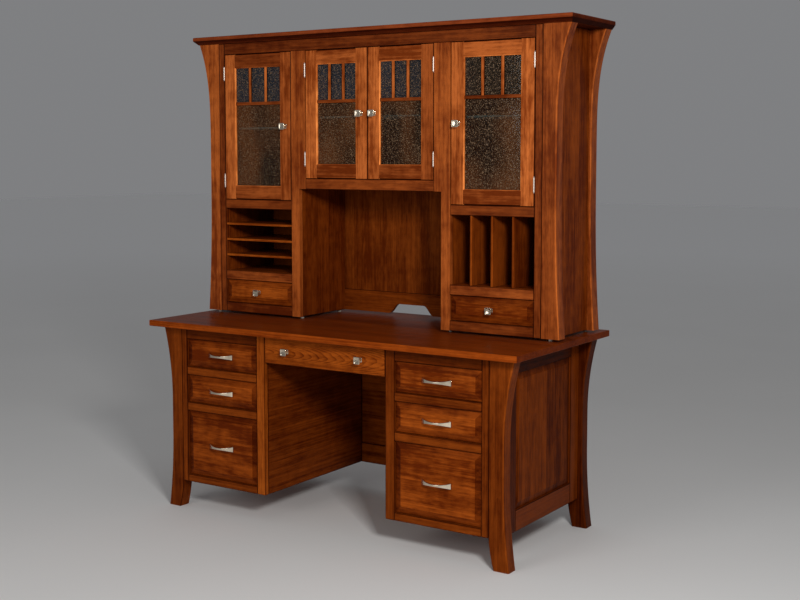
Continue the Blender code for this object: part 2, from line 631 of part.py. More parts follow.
def glass_shelf(name, x_range, under):
    """Loose glass shelf lying on its four pins."""
    x0, x1 = x_range
    z0 = under + FIT
    box = ((x0 + SHELF_SIDE_GAP, x1 - SHELF_SIDE_GAP), BETWEEN_POSTS, (z0, z0 + SHELF_THICKNESS))
    node(name, joined_boxes([box]), CLEAR_GLASS, pivot=(0.0, BETWEEN_POSTS[0], under))


glass_shelf("left_glass_shelf", (-HUTCH_SIDE_IN, -SIDE_BAY_INNER), DOOR_FOOT + LEFT_SHELF_UP)
glass_shelf("centre_glass_shelf", (-CENTRE_X, CENTRE_X), CENTRE_DOOR_FOOT + CENTRE_SHELF_UP)
glass_shelf("right_glass_shelf", (SIDE_BAY_INNER, HUTCH_SIDE_IN), DOOR_FOOT + RIGHT_SHELF_UP)


# Hardware

def knob(name, place, carrier):
    """Square knob: a foot, a waisted neck and a flared face with a shallow dish."""
    x, y, z = place
    flare_start = KNOB_FOOT_THICKNESS * 2
    flare_end = KNOB_PROJECTION - KNOB_EDGE
    profile = [(KNOB_FOOT, FIT), (KNOB_FOOT, KNOB_FOOT_THICKNESS)]
    for t in np.linspace(0, 1, KNOB_STEPS + 1):
        profile.append((KNOB_NECK + (KNOB_FACE - KNOB_NECK) * t * t,
                        flare_start + (flare_end - flare_start) * t))
    rim = KNOB_FACE - 2 * KNOB_EDGE
    profile += [(KNOB_FACE, KNOB_PROJECTION), (rim, KNOB_PROJECTION),
                (rim - 2 * KNOB_EDGE, KNOB_PROJECTION - KNOB_DISH)]
    loops = []
    for width, out in profile:
        half = width / 2
        cut = KNOB_EDGE * width / KNOB_FACE
        square = [(half - cut, -half), (half, cut - half), (half, half - cut), (half - cut, half),
                  (cut - half, half), (-half, half - cut), (-half, cut - half), (cut - half, -half)]
        loops.append([(x + u, y - out, z + v) for u, v in square])
    node(name, loft(loops), NICKEL, pivot=place, carrier=carrier)


def pull(name, place, carrier):
    """Bow pull: a bar that arches out from two broad feet and thins towards its middle."""
    x, y, z = place
    half = PULL_LENGTH / 2
    rise = PULL_PROJECTION - PULL_END_PROJECTION
    turn = PULL_BAR                             # length of the slope from foot to bar
    reach = half - PULL_FOOT - turn
    stations = [reach * i / PULL_STEPS for i in range(PULL_STEPS + 1)] + [half - PULL_FOOT, half]
    stations = [-s for s in reversed(stations[1:])] + stations
    loops = []
    for s in stations:
        t = abs(s) / half
        front = PULL_PROJECTION - rise * t * t
        slope = 2 * rise * t / half
        back = FIT if abs(s) > half - PULL_FOOT - turn / 2 else front - PULL_BAR * math.hypot(1, slope)
        h = (PULL_MID_HEIGHT + (PULL_END_HEIGHT - PULL_MID_HEIGHT) * t ** PULL_POWER) / 2
        c = PULL_EDGE
        outline = [(front, c - h), (front, h - c), (front - c, h), (back + c, h),
                   (back, h - c), (back, c - h), (back + c, -h), (front - c, -h)]
        loops.append([(x + s, y - out, z + up) for out, up in outline])
    node(name, loft(loops), NICKEL, pivot=place, carrier=carrier, smooth=True)


def hinge(name, x, z_low):
    """Butt hinge: a barrel in front of the reveal, and the leaf that is screwed to the stile."""
    y = HUTCH_FACE_Y - HINGE_RADIUS - FIT
    turns = [2 * math.pi * i / HINGE_SIDES for i in range(HINGE_SIDES)]
    rings = [(0.5, -HINGE_TIP), (0.8, -HINGE_TIP / 2), (0.6, 0.0), (1.0, 0.0)]
    rings += [(r, HINGE_LENGTH - up) for r, up in reversed(rings)]
    barrel = loft([[(x + r * HINGE_RADIUS * math.cos(a), y + r * HINGE_RADIUS * math.sin(a), z_low + up)
                    for a in turns] for r, up in rings])
    half = REVEAL / 2 - FIT
    leaf = joined_boxes([((x - half, x + half), (y, HUTCH_FACE_Y + FRAME_THICKNESS - FIT),
                          (z_low + FIT, z_low + HINGE_LENGTH - FIT))])
    node(name, fused(barrel, leaf), NICKEL, pivot=(x, y, z_low), smooth=True)


# Drawers

def drawer(name, opening, face_y, box_length, raised=True, side_gap=BOX_SIDE_GAP, lift=0.0):
    """Inset front, raised or a plain slab, with an open box tenoned into its back."""
    (x0, x1), (z0, z1) = opening
    rect = shrunk(opening, REVEAL)
    back_y = face_y + FRONT_THICKNESS
    if raised:
        field = shrunk(rect, PANEL_BEVEL)
        front = loft([upright(rect, back_y), upright(rect, face_y + PANEL_DROP),
                      upright(field, face_y + PANEL_STEP), upright(field, face_y)])
    else:
        front = loft([upright(rect, back_y), upright(rect, face_y + TOP_EDGE),
                      upright(shrunk(rect, TOP_EDGE), face_y)])
    a0, a1 = x0 + REVEAL + side_gap, x1 - REVEAL - side_gap
    low, high = z0 + lift + FIT, z1 - BOX_HEADROOM
    y_range = (back_y - BOX_TENON, back_y + box_length)
    box = joined_boxes([
        ((a0, a0 + BOX_WALL), y_range, (low, high)),
        ((a1 - BOX_WALL, a1), y_range, (low, high)),
        ((a0, a1), (y_range[1] - BOX_WALL, y_range[1]), (low, high)),
        ((a0, a1), y_range, (low + BOX_BOTTOM_UP, low + BOX_BOTTOM_UP + BOX_BOTTOM)),
    ])
    middle = ((x0 + x1) / 2, face_y, (z0 + z1) / 2)
    return node(name, fused(front, box), CHERRY, pivot=middle), middle


for word, side in SIDES.items():
    x_range = tuple(sorted((side * BAY_INNER, side * BAY_OUTER)))
    for row, z_range in PEDESTAL_OPENINGS.items():
        body, middle = drawer(f"{word}_{row}_drawer", (x_range, z_range), FACE_Y, PEDESTAL_BOX_LENGTH)
        pull(f"{word}_{row}_drawer_pull", middle, body)
    x_range = tuple(sorted((side * SIDE_BAY_INNER, side * SIDE_BAY_OUTER)))
    z_range = (HUTCH_DRAWER_FOOT, HUTCH_DRAWER_TOP)
    body, middle = drawer(f"{word}_hutch_drawer", (x_range, z_range), HUTCH_FACE_Y, HUTCH_BOX_LENGTH)
    knob(f"{word}_hutch_drawer_knob", middle, body)

pencil_opening = ((-KNEE_X, KNEE_X), (PENCIL_FOOT, UNDER_TOP))
pencil, middle = drawer("pencil_drawer", pencil_opening, FACE_Y, PENCIL_BOX_LENGTH, raised=False,
                        side_gap=PENCIL_SIDE_GAP - REVEAL, lift=PENCIL_LIFT)
for word, side in SIDES.items():
    knob(f"pencil_drawer_knob_{word}", (side * PENCIL_KNOB_SPACING / 2, middle[1], middle[2]), pencil)


# Doors

def door(name, opening, hinge_side):
    """Glazed door: rails and stiles grooved for one pane, muntins in front of it, knob and two hinges."""
    (x0, x1), (z0, z1) = opening
    rect = ((x0, x1), (z0 + REVEAL, z1 - REVEAL))
    sight = shrunk(rect, DOOR_RAIL)
    groove = shrunk(sight, -GLASS_GROOVE)
    y = HUTCH_FACE_Y
    pane_y = (y + DOOR_LIP, y + DOOR_LIP + GLASS_THICKNESS + 2 * FIT)
    whole, lip, stop = (y, y + DOOR_THICKNESS), (y, pane_y[0]), (pane_y[1], y + DOOR_THICKNESS)
    boxes = [(u, whole, v) for u, v in ring(rect, groove)]
    for depth in (lip, stop):
        boxes += [(u, depth, v) for u, v in ring(groove, sight)]
    bar = (y + MUNTIN_SETBACK, pane_y[0])
    (s0, s1), (t0, t1) = sight
    cross = t1 - UPPER_PANE_HEIGHT
    boxes.append(((s0, s1), bar, (cross - MUNTIN, cross)))
    pane_width = (s1 - s0 - (UPPER_PANES - 1) * MUNTIN) / UPPER_PANES
    for i in range(1, UPPER_PANES):
        left = s0 + i * pane_width + (i - 1) * MUNTIN
        boxes.append(((left, left + MUNTIN), bar, (cross, t1)))

    hinge_x = x0 - REVEAL / 2 if hinge_side < 0 else x1 + REVEAL / 2
    middle_z = (z0 + z1) / 2
    axis = (hinge_x, y - HINGE_RADIUS - FIT, middle_z)
    body = node(name, joined_boxes(boxes), CHERRY_DOOR, pivot=axis)
    (g0, g1), (h0, h1) = shrunk(groove, FIT)
    pane = joined_boxes([((g0, g1), (pane_y[0] + FIT, pane_y[1] - FIT), (h0, h1))])
    node(f"{name}_glass", pane, SEEDED_GLASS, pivot=(axis[0], pane_y[0], middle_z), carrier=body)
    free_x = x1 - KNOB_FROM_EDGE if hinge_side < 0 else x0 + KNOB_FROM_EDGE
    knob(f"{name}_knob", (free_x, y, middle_z), body)
    hinge(f"{name}_hinge_upper", hinge_x, z1 - HINGE_FROM_END - HINGE_LENGTH)
    hinge(f"{name}_hinge_lower", hinge_x, z0 + HINGE_FROM_END)


side_z, centre_z = (DOOR_FOOT, DOOR_TOP), (CENTRE_DOOR_FOOT, DOOR_TOP)
door("left_door", ((REVEAL - SIDE_BAY_OUTER, -REVEAL - SIDE_BAY_INNER), side_z), -1)
door("centre_left_door", ((REVEAL - CENTRE_DOOR_X, -REVEAL / 2), centre_z), -1)
door("centre_right_door", ((REVEAL / 2, CENTRE_DOOR_X - REVEAL), centre_z), 1)
door("right_door", ((SIDE_BAY_INNER + REVEAL, SIDE_BAY_OUTER - REVEAL), side_z), 1)
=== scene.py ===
"""Looks of a desk with a hutch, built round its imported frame: figured cherry, seeded glass and nickel."""

import bpy
import numpy as np
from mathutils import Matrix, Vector


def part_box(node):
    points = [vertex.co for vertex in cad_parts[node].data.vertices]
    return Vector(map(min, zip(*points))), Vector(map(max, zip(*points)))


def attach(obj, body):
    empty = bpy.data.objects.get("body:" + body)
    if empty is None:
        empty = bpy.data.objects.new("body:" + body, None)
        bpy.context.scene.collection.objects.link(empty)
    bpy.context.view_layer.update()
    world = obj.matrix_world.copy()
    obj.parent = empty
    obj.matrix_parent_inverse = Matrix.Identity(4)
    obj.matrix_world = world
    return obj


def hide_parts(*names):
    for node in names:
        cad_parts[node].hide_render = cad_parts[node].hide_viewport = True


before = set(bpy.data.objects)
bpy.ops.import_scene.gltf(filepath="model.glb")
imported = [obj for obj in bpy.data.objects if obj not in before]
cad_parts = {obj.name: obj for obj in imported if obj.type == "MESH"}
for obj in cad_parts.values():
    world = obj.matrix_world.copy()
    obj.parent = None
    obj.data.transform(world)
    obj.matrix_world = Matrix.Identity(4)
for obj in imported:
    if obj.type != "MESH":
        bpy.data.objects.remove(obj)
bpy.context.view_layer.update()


# Desk legs
# Four legs of solid cherry, sawn to a curve that flares out at the foot and under the top, with the
# grain upright. The outer front edge is rounded over, and each leg is glued against its pedestal.

# The back legs are darkened with painted shade.
LEG_STAIN_AND_SHADE = {"front": 0.9, "back": 0.42}
LEG_TONE = 0.2
# A flare has its reach, the height of its curve and the power of that height. The kick is the flare of the
# inner edge of the foot, and the glint is a painted highlight: how much paler the rounded edge is painted.
LEG = {"waist": 0.058, "top": (0.040, 0.290, 2.0), "foot": (0.022, 0.300, 2.0),
       "kick": (0.020, 0.111, 1.5), "painted_glint": 1.45}
UPRIGHT_RINGS = 97
UPRIGHT_HOLD = 0.0008  # flat kept beside each rounded edge
EDGE_ROUND = 0.006
SEAM_ROUND = 0.002  # the other edges of legs and posts
JOINT = 0.25  # stain that gathers along an arris
LACQUER = (1.0, 0.74, 0.42, 1.0)
SIDES = {"left": -1, "right": 1}
chance = np.random.default_rng(20)


def reach(node):
    """Lowest and highest corner of a node of the frame, as two rows."""
    return np.array([list(corner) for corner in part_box(node)])


def skin(rings):
    """Closed skin over a stack of rings (station, point, axis): quads join each ring to the next, and a flat
    face closes each end. All are turned to look outwards, whichever way the rings run."""
    walk = rings.mean(axis=1)
    middle = rings[len(rings) // 2] - walk[len(rings) // 2]
    turn = np.cross(middle, np.roll(middle, -1, axis=0)).sum(axis=0)
    stations, count = rings.shape[:2]
    place = np.arange(stations * count).reshape(stations, count)
    if turn @ (walk[-1] - walk[0]) < 0:
        place = place[:, ::-1]
    beside = np.roll(place, -1, axis=1)
    quads = np.stack([place[:-1], beside[:-1], beside[1:], place[1:]], axis=-1).reshape(-1, 4)
    return rings.reshape(-1, 3), (quads, np.stack([place[0, ::-1], place[-1]]))


def rounded_loop(u, v, radii, steps, hold=0.0):
    """Rectangle with a quarter circle at each corner: corner centre plus radius times the cosine and sine of
    an angle that turns a quarter at each corner. Edges and radii may hold one value per station; hold adds a
    point that far before and after each arc, which keeps the flats flat under smooth shading."""
    (u0, u1), (v0, v1) = u, v
    swing = np.linspace(0, np.pi / 2, steps + 1)
    corners = ((u0, v0, 1, 1), (u1, v0, -1, 1), (u1, v1, -1, -1), (u0, v1, 1, -1))
    arcs = []
    for quarter, (corner_u, corner_v, in_u, in_v) in enumerate(corners):
        angle = np.pi * (1 + quarter / 2) + swing
        circle = np.stack([in_u + np.cos(angle), in_v + np.sin(angle)], axis=-1)
        lead = 0.0
        if hold:
            circle = np.concatenate([circle[:1], circle, circle[-1:]])
            lead = np.zeros_like(circle)
            lead[0] = hold * np.sin(angle[0]), -hold * np.cos(angle[0])
            lead[-1] = -hold * np.sin(angle[-1]), hold * np.cos(angle[-1])
        corner = np.stack(np.broadcast_arrays(corner_u, corner_v), axis=-1).reshape(-1, 1, 2)
        arcs.append(corner + np.reshape(radii[quarter], (-1, 1, 1)) * circle + lead)
    stations = max(len(arc) for arc in arcs)
    return np.concatenate([np.broadcast_to(arc, (stations, *arc.shape[1:])) for arc in arcs], axis=1)


def laid(run, u, v, along=0):
    """Points from their places on one axis and on the two axes that follow it."""
    return np.roll(np.stack(np.broadcast_arrays(run, u, v), axis=-1), along, axis=-1)


def flared_upright(node, base, waist, top, foot, kick, painted_glint):
    """Rings up a flared upright. Its outer face stands at seam plus waist, and each flare adds its reach
    times a power of the height into its curve; its inner face stands at the seam and kicks out in the same
    way. With them goes the stain of each point: dark in the seam, and paler on the rounded edge with a
    painted highlight."""
    low, high = reach(node)
    seam = min(abs(low[0]), abs(high[0]))
    height = np.linspace(base, high[2], UPRIGHT_RINGS)

    def flare(into, size, curve, power):
        return size * np.clip(into / curve, 0, None) ** power

    outer = seam + waist + flare(height - high[2] + top[1], *top) + flare(base + foot[1] - height, *foot)
    inner = seam + flare(base + kick[1] - height, *kick)
    radii = (SEAM_ROUND, EDGE_ROUND, SEAM_ROUND, SEAM_ROUND)
    plan = rounded_loop((inner, outer), (low[1], high[1]), radii, 6, hold=UPRIGHT_HOLD)
    arc = np.sin(np.linspace(0, np.pi, plan.shape[1] // 4))
    stain = np.concatenate([1 - (1 - JOINT) * arc ** 0.5, 1 + (painted_glint - 1) * arc ** 4, np.ones(2 * len(arc))])
    return laid(np.sign(low[0]) * plan[..., 0], plan[..., 1], height[:, None]), stain


def figured(rings, along, tone=None, stain=1.0):
    """A board with its place in the log: the way along the grain, then the two ways across it, wide before
    thin, measured from a heart that lies a little way off behind the board. tone sets it paler or darker;
    the stain value, one value or one for each ring or point, multiplies its colour; it carries real stain
    and also painted highlights and painted shade."""
    points, faces = skin(rings)
    size = np.ptp(points, axis=0)
    wide, thin = sorted({0, 1, 2} - {along}, key=lambda axis: -size[axis])
    log = points[:, [along, wide, thin]] - points.mean(axis=0)[[along, wide, thin]]
    log += chance.uniform(-30, 30), chance.uniform(-0.07, 0.07), chance.uniform(0.03, 0.12)
    drawn = chance.uniform(-1, 1)
    tone = np.full(len(points), drawn if tone is None else tone)
    return points, faces, log, tone, np.broadcast_to(stain, rings.shape[:2]).ravel()


def stand(name, data):
    """A new object in the scene, at the origin."""
    made = bpy.data.objects.new(name, data)
    bpy.context.scene.collection.objects.link(made)
    return made


def assemble(name, boards, finish, slot, body, *replaced, smooth=None):
    """One object of several boards, each with its own figure, that rides a body and stands for frame nodes.
    smooth is the angle, in degrees, up to which its faces are shaded as one."""
    points, patches, log, tone, stain = zip(*boards)
    faces = []
    for board_patches, start in zip(patches, np.cumsum([0] + [len(part) for part in points])):
        for patch in board_patches:
            faces += (patch + start).tolist()
    mesh = bpy.data.meshes.new(name)
    mesh.from_pydata(np.concatenate(points).tolist(), [], faces)
    log = np.concatenate(log).astype(np.float32)
    mesh.attributes.new("log", "FLOAT_VECTOR", "POINT").data.foreach_set("vector", log.ravel())
    for attribute, values in (("board", tone), ("stain", stain)):
        value = np.concatenate(values).astype(np.float32)
        mesh.attributes.new(attribute, "FLOAT", "POINT").data.foreach_set("value", value)
    if smooth:
        mesh.shade_smooth()
        mesh.set_sharp_from_angle(angle=np.radians(smooth))
    mesh.materials.append(finish)
    made = stand(name, mesh)
    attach(made, body)
    if replaced:
        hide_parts(*replaced)


def feed(node, inputs):
    """Give a node its inputs, each a number, a colour or the socket that feeds it."""
    for key, value in dict(inputs).items():
        if isinstance(value, bpy.types.NodeSocket):
            node.id_data.links.new(value, node.inputs[key])
        else:
            node.inputs[key].default_value = value


def wire(tree, kind, inputs=(), **settings):
    """Add a shader node with its settings and inputs, and give back its outputs."""
    node = tree.nodes.new(f"ShaderNode{kind}")
    for key, value in settings.items():
        setattr(node, key, value)
    feed(node, inputs)
    return node.outputs


def reckon(operation, value, *terms):
    """Result of one sum on a socket and further numbers or sockets."""
    return wire(value.id_data, "Math", enumerate((value, *terms)), operation=operation)[0]


def scaled(value, weight, base):
    """Base plus a value times its weight."""
    return reckon("MULTIPLY_ADD", value, weight, base)


def graded(value, start, end):
    """How far a value has gone from start to end, from 0 to 1."""
    return wire(value.id_data, "MapRange", {0: value, 1: start, 2: end})[0]


def blend(share, *ends):
    """Colour that passes from one end to the other as the share grows from 0 to 1."""
    first, second = (end if isinstance(end, bpy.types.NodeSocket) else (*end, 1.0) for end in ends)
    return wire(share.id_data, "Mix", {0: share, 6: first, 7: second}, data_type="RGBA")[2]


def split(vector):
    """The three numbers of a vector or a colour."""
    return wire(vector.id_data, "SeparateXYZ", {0: vector})


def joined(*numbers):
    """Vector of three numbers, the last of them a socket."""
    return wire(numbers[2].id_data, "CombineXYZ", enumerate(numbers))[0]


def length(vector):
    """Length of a vector."""
    return wire(vector.id_data, "VectorMath", {0: vector}, operation="LENGTH")["Value"]


def stretched(vector, scale):
    """Vector with each axis multiplied by its own scale."""
    return wire(vector.id_data, "VectorMath", {0: vector, 1: scale}, operation="MULTIPLY")[0]


def drawn_out(place, scale, detail=2.0):
    """Noise with its own scale, in waves to the metre, along each axis of a place."""
    pulled = stretched(place, scale)
    return wire(place.id_data, "TexNoise", {"Vector": pulled, "Scale": 1.0, "Detail": detail})[0]


def ripple(place, scale, detail=2.0):
    """The same noise about nought."""
    return reckon("SUBTRACT", drawn_out(place, scale, detail), 0.5)


def dented(height, strength, distance):
    """Normal of a surface that is dented by a height."""
    inputs = {"Height": height, "Strength": strength, "Distance": distance}
    return wire(height.id_data, "Bump", inputs)["Normal"]


def surface(name):
    """A new material, with its node tree and its one shader."""
    material = bpy.data.materials.new(name)
    material.use_nodes = True
    return material, material.node_tree, material.node_tree.nodes["Principled BSDF"]


def wood_figure():
    """Figure of a board from its place in the log. Growth rings are equal steps of the distance from the
    heart, with a slow wander and a taper along the trunk. Streaks and fibres are noise drawn out along the
    grain, and so, less far, are mottle and drift, while curl is drawn out across it. Each stave of a glued
    panel is moved to its own place. The stain multiplies the colour, most in blue and least in red; it
    carries real stain and also painted highlights and painted shade."""
    group = bpy.data.node_groups.new("wood_figure", "ShaderNodeTree")
    amounts = ("Board", "Stain_and_light", "Stave", "Ring", "Match", "Streak", "Bands", "Curl", "Rough")
    takes = {"Log": "Vector", **dict.fromkeys(amounts, "Float"), "Dark": "Color", "Light": "Color"}
    gives = {"Colour": "Color", "Roughness": "Float", "Pores": "Float"}
    for way, sockets in (("INPUT", takes), ("OUTPUT", gives)):
        for name, kind in sockets.items():
            group.interface.new_socket(name, in_out=way, socket_type=f"NodeSocket{kind}")
    given = group.nodes.new("NodeGroupInput").outputs

    # Each stave draws three shifts of place and a shade of its own.
    log = split(given["Log"])
    stave = reckon("FLOOR", reckon("ADD", reckon("DIVIDE", log[1], given["Stave"]), 0.5))
    seed = scaled(stave, 1009.0, reckon("ROUND", reckon("MULTIPLY", given["Board"], 400.0)))
    draw = wire(group, "TexWhiteNoise", {"W": seed}, noise_dimensions="1D")
    part = split(draw["Color"])
    along = scaled(part[0], 9.0, log[0])
    wide = reckon("SUBTRACT", log[1], reckon("MULTIPLY", stave, given["Stave"]))
    wide = scaled(reckon("SUBTRACT", part[1], 0.5), 0.06, wide)
    deep = scaled(part[2], 0.05, log[2])
    place = joined(along, wide, deep)

    # Growth rings: distance from the heart, taper, a slow wander and a quick one. Late wood is dark.
    ring = scaled(along, 0.012, length(joined(0.0, wide, deep)))
    ring = scaled(drawn_out(place, (1.1, 6.0, 6.0)), 0.045, ring)
    ring = scaled(drawn_out(place, (5.0, 45.0, 45.0)), 0.004, ring)
    ring = reckon("FRACT", reckon("DIVIDE", ring, given["Ring"]))
    late = reckon("SUBTRACT", reckon("POWER", ring, 3.0), 0.25)

    # Lines along the grain, clouds over it, and open pores.
    streak = ripple(place, (1.6, 120.0, 120.0), 3.0)
    fibre = ripple(place, (9.0, 480.0, 480.0))
    lines = scaled(fibre, 0.9, reckon("MULTIPLY", streak, 1.4))
    mottle = ripple(place, (22.0, 80.0, 80.0), 3.0)
    curl = ripple(place, (24.0, 7.0, 7.0))
    drift = ripple(place, (3.0, 14.0, 14.0))
    clouds = scaled(drift, 1.2, scaled(curl, 0.4, reckon("MULTIPLY", mottle, 0.75)))
    pore = graded(drawn_out(place, (42.0, 1500.0, 1500.0), 0.0), 0.60, 0.74)

    # Shade of each point, from dark to light, then its pores and its stain.
    shade = scaled(given["Board"], 0.15, 0.5)
    shade = scaled(reckon("SUBTRACT", draw["Value"], 0.5), given["Match"], shade)
    shade = scaled(lines, given["Streak"], shade)
    shade = scaled(late, reckon("MULTIPLY", given["Bands"], -1.0), shade)
    shade = scaled(clouds, given["Curl"], shade)
    colour = blend(shade, given["Dark"], given["Light"])
    kept = scaled(pore, -0.35, 1.0)
    colour = wire(group, "VectorMath", {0: colour, "Scale": kept}, operation="SCALE")[0]
    stain = given["Stain_and_light"]
    colour = stretched(colour, joined(stain, reckon("POWER", stain, 1.25), reckon("POWER", stain, 1.4)))
    rough = scaled(curl, 0.12, scaled(fibre, 0.16, given["Rough"]))
    pores = scaled(fibre, 0.5, reckon("MULTIPLY", pore, -1.0))
    feed(group.nodes.new("NodeGroupOutput"), {"Colour": colour, "Roughness": rough, "Pores": pores})
    return group


FIGURE = wood_figure()


def timber(name, dark, light, stave=10.0, match=0.24, ring=0.007, streak=1.0, bands=0.15, curl=1.0,
           rough=0.34, gloss=0.035):
    """Finished wood: its figure runs from a dark to a light colour under an amber satin lacquer. stave is
    the width of the boards in a glued panel, match how far they differ, ring the spacing of the rings."""
    material, tree, shader = surface(name)
    log, board, stain = (wire(tree, "Attribute", attribute_name=word) for word in ("log", "board", "stain"))
    figure = wire(tree, "Group", {
        "Log": log["Vector"], "Board": board["Fac"], "Stain_and_light": stain["Fac"], "Stave": stave, "Match": match,
        "Ring": ring, "Streak": streak, "Bands": bands, "Curl": curl, "Rough": rough,
        "Dark": (*dark, 1.0), "Light": (*light, 1.0)}, node_tree=FIGURE)
    feed(shader, {"Base Color": figure["Colour"], "Roughness": figure["Roughness"],
                  "Normal": dented(figure["Pores"], 0.3, 0.0003),
                  "Specular IOR Level": gloss, "Specular Tint": LACQUER})
    return material


CHERRY = timber("cherry", (0.080, 0.0103, 0.0007), (0.255, 0.0495, 0.0045))

for word in SIDES:
    for row in ("front", "back"):
        node = f"leg_{row}_{word}"
        rings, stain = flared_upright(node, reach(node)[0][2], **LEG)
        leg = figured(rings, 2, LEG_TONE, LEG_STAIN_AND_SHADE[row] * stain)
        assemble(f"shaped_{node}", [leg], CHERRY, "cherry", "carcass", node, smooth=40)


# Pedestal cases
# A case of 19 mm boards behind each pair of legs. The outer side is a frame round a raised panel of glued
# boards, and the inner side has its grain level. Maple runners inside carry the drawers.

BOARD = 0.019
ARRIS = 0.0016
FIT = 0.0003
SIDE_STILE = 0.068
SIDE_TOP_RAIL = 0.066
SIDE_BOTTOM_RAIL = 0.076
PANEL_BEVEL = 0.024
PANEL_DROP = 0.008
PANEL_STEP = 0.0015
PANEL_TONGUE = 0.006
PANEL_THICKNESS = 0.014
FIELD_EASE = 0.0004  # the edge of a raised field is broken by this much
FIELD_FLAT = 0.0012  # and the flat of the field starts this far in
MITRE = 0.0003
RUNNER_HEIGHT = 0.014
RUNNER_REACH = 0.016  # runners pass under the drawer sides
PENCIL_RUNNER = (0.252, 0.645)  # inner edge and upper face of the runner beside the kneehole
PENCIL_RUN = 0.400
# The front stile is darkened with painted shadow of the leg, and the back stile is darker too.
SIDE_STILE_STAIN_AND_SHADE = (0.38, 0.7)  # front and back
# The top rail is darkened with painted shadow of the overhanging desk top, and the bottom rail is darker too.
SIDE_RAIL_STAIN_AND_SHADE = (0.65, 0.42)  # bottom and top
# The 1.3 at the broken edge of the field is a painted highlight line round it; the bevel is darker.
SIDE_PANEL_STAIN_AND_HIGHLIGHT = (0.6, 0.6, 0.8, 1.3, 0.95)  # from the tongue over the bevel to the field
SIDE_PANEL_TONE = 0.345
MAPLE_JOINT = 0.8
# The glued panels are a darker copy of the cherry: painted shade for the case backs, the outer sides and the
# modesty panel.
CHERRY_GLUED_SHADED = timber("cherry_glued_shaded", (0.060, 0.0074, 0.0004), (0.215, 0.0400, 0.0030), stave=0.062,
                      match=0.7, streak=0.7, curl=1.2, gloss=0.02)
MAPLE = timber("maple", (0.36, 0.20, 0.085), (0.66, 0.44, 0.22), stave=0.09, ring=0.004, streak=0.4, curl=0.3,
               rough=0.45)


def plank(low, high, along, ease=ARRIS, steps=2):
    """Rings of a board with eased edges: a rounded rectangle carried along the grain, drawn in at both ends
    by the same quarter circle. A ring and a row of points just inside each edge keep the faces flat."""
    low, high = np.minimum(low, high), np.maximum(low, high)
    across, up = (along + 1) % 3, (along + 2) % 3
    hold = 0.8 * ease
    lean = np.append(np.linspace(np.pi / 2, 0, steps + 1), 0)
    run = ease * (1 - np.sin(lean))
    run[-1] += hold
    radius = ease * np.maximum(np.cos(lean), 0.1)
    radius = np.concatenate([radius, radius[::-1]])
    inset = ease - radius
    loop = rounded_loop((low[across] + inset, high[across] - inset), (low[up] + inset, high[up] - inset),
                        [radius] * 4, steps, hold=hold)
    run = np.concatenate([low[along] + run, high[along] - run[::-1]])
    return laid(run[:, None], loop[..., 0], loop[..., 1], along)


def board(low, high, along, tone=None, stain=1.0, joint=JOINT):
    """A plank with its figure. Stain gathers along its arrises: the points that lie close to two faces."""
    rings = plank(low, high, along)
    near = np.minimum(rings - np.minimum(low, high), np.maximum(low, high) - rings)
    arris = np.sort(near, axis=-1)[..., 1] < 1.01 * ARRIS
    return figured(rings, along, tone, stain * np.where(arris, joint, 1.0))


def mirrored(side, *corners):
    """Corners drawn for the right-hand side, put on either side."""
    return [np.array(corner) * (side, 1, 1) for corner in corners]


def sided(side, low, high, along, **finish):
    """A board drawn for the right-hand side, put on either side."""
    return board(*mirrored(side, low, high), along, **finish)


def raised_panel(u, v, facing, levels):
    """Rings of a panel that faces along an axis: at each level, (inset, place on that axis), a rectangle with
    every edge drawn in by the inset. A hair of a facet along each mitre parts the stain of the two bevels."""
    inset, depth = np.array(levels).T
    loop = rounded_loop((u[0] + inset, u[1] - inset), (v[0] + inset, v[1] - inset), [MITRE] * 4, 1)
    return laid(depth[:, None], loop[..., 0], loop[..., 1], facing)


def grain_stain(long_edges, ends, u_runs_along):
    """Stain, painted light and painted shade of a raised panel, one row for each ring: its ends, cut across
    the grain, take one set of values and its long edges another."""
    across_u = np.array([1, 0, 0, 1, 1, 0, 0, 1])
    at_end = across_u if u_runs_along else 1 - across_u
    return np.where(at_end, np.reshape(ends, (-1, 1)), np.reshape(long_edges, (-1, 1)))


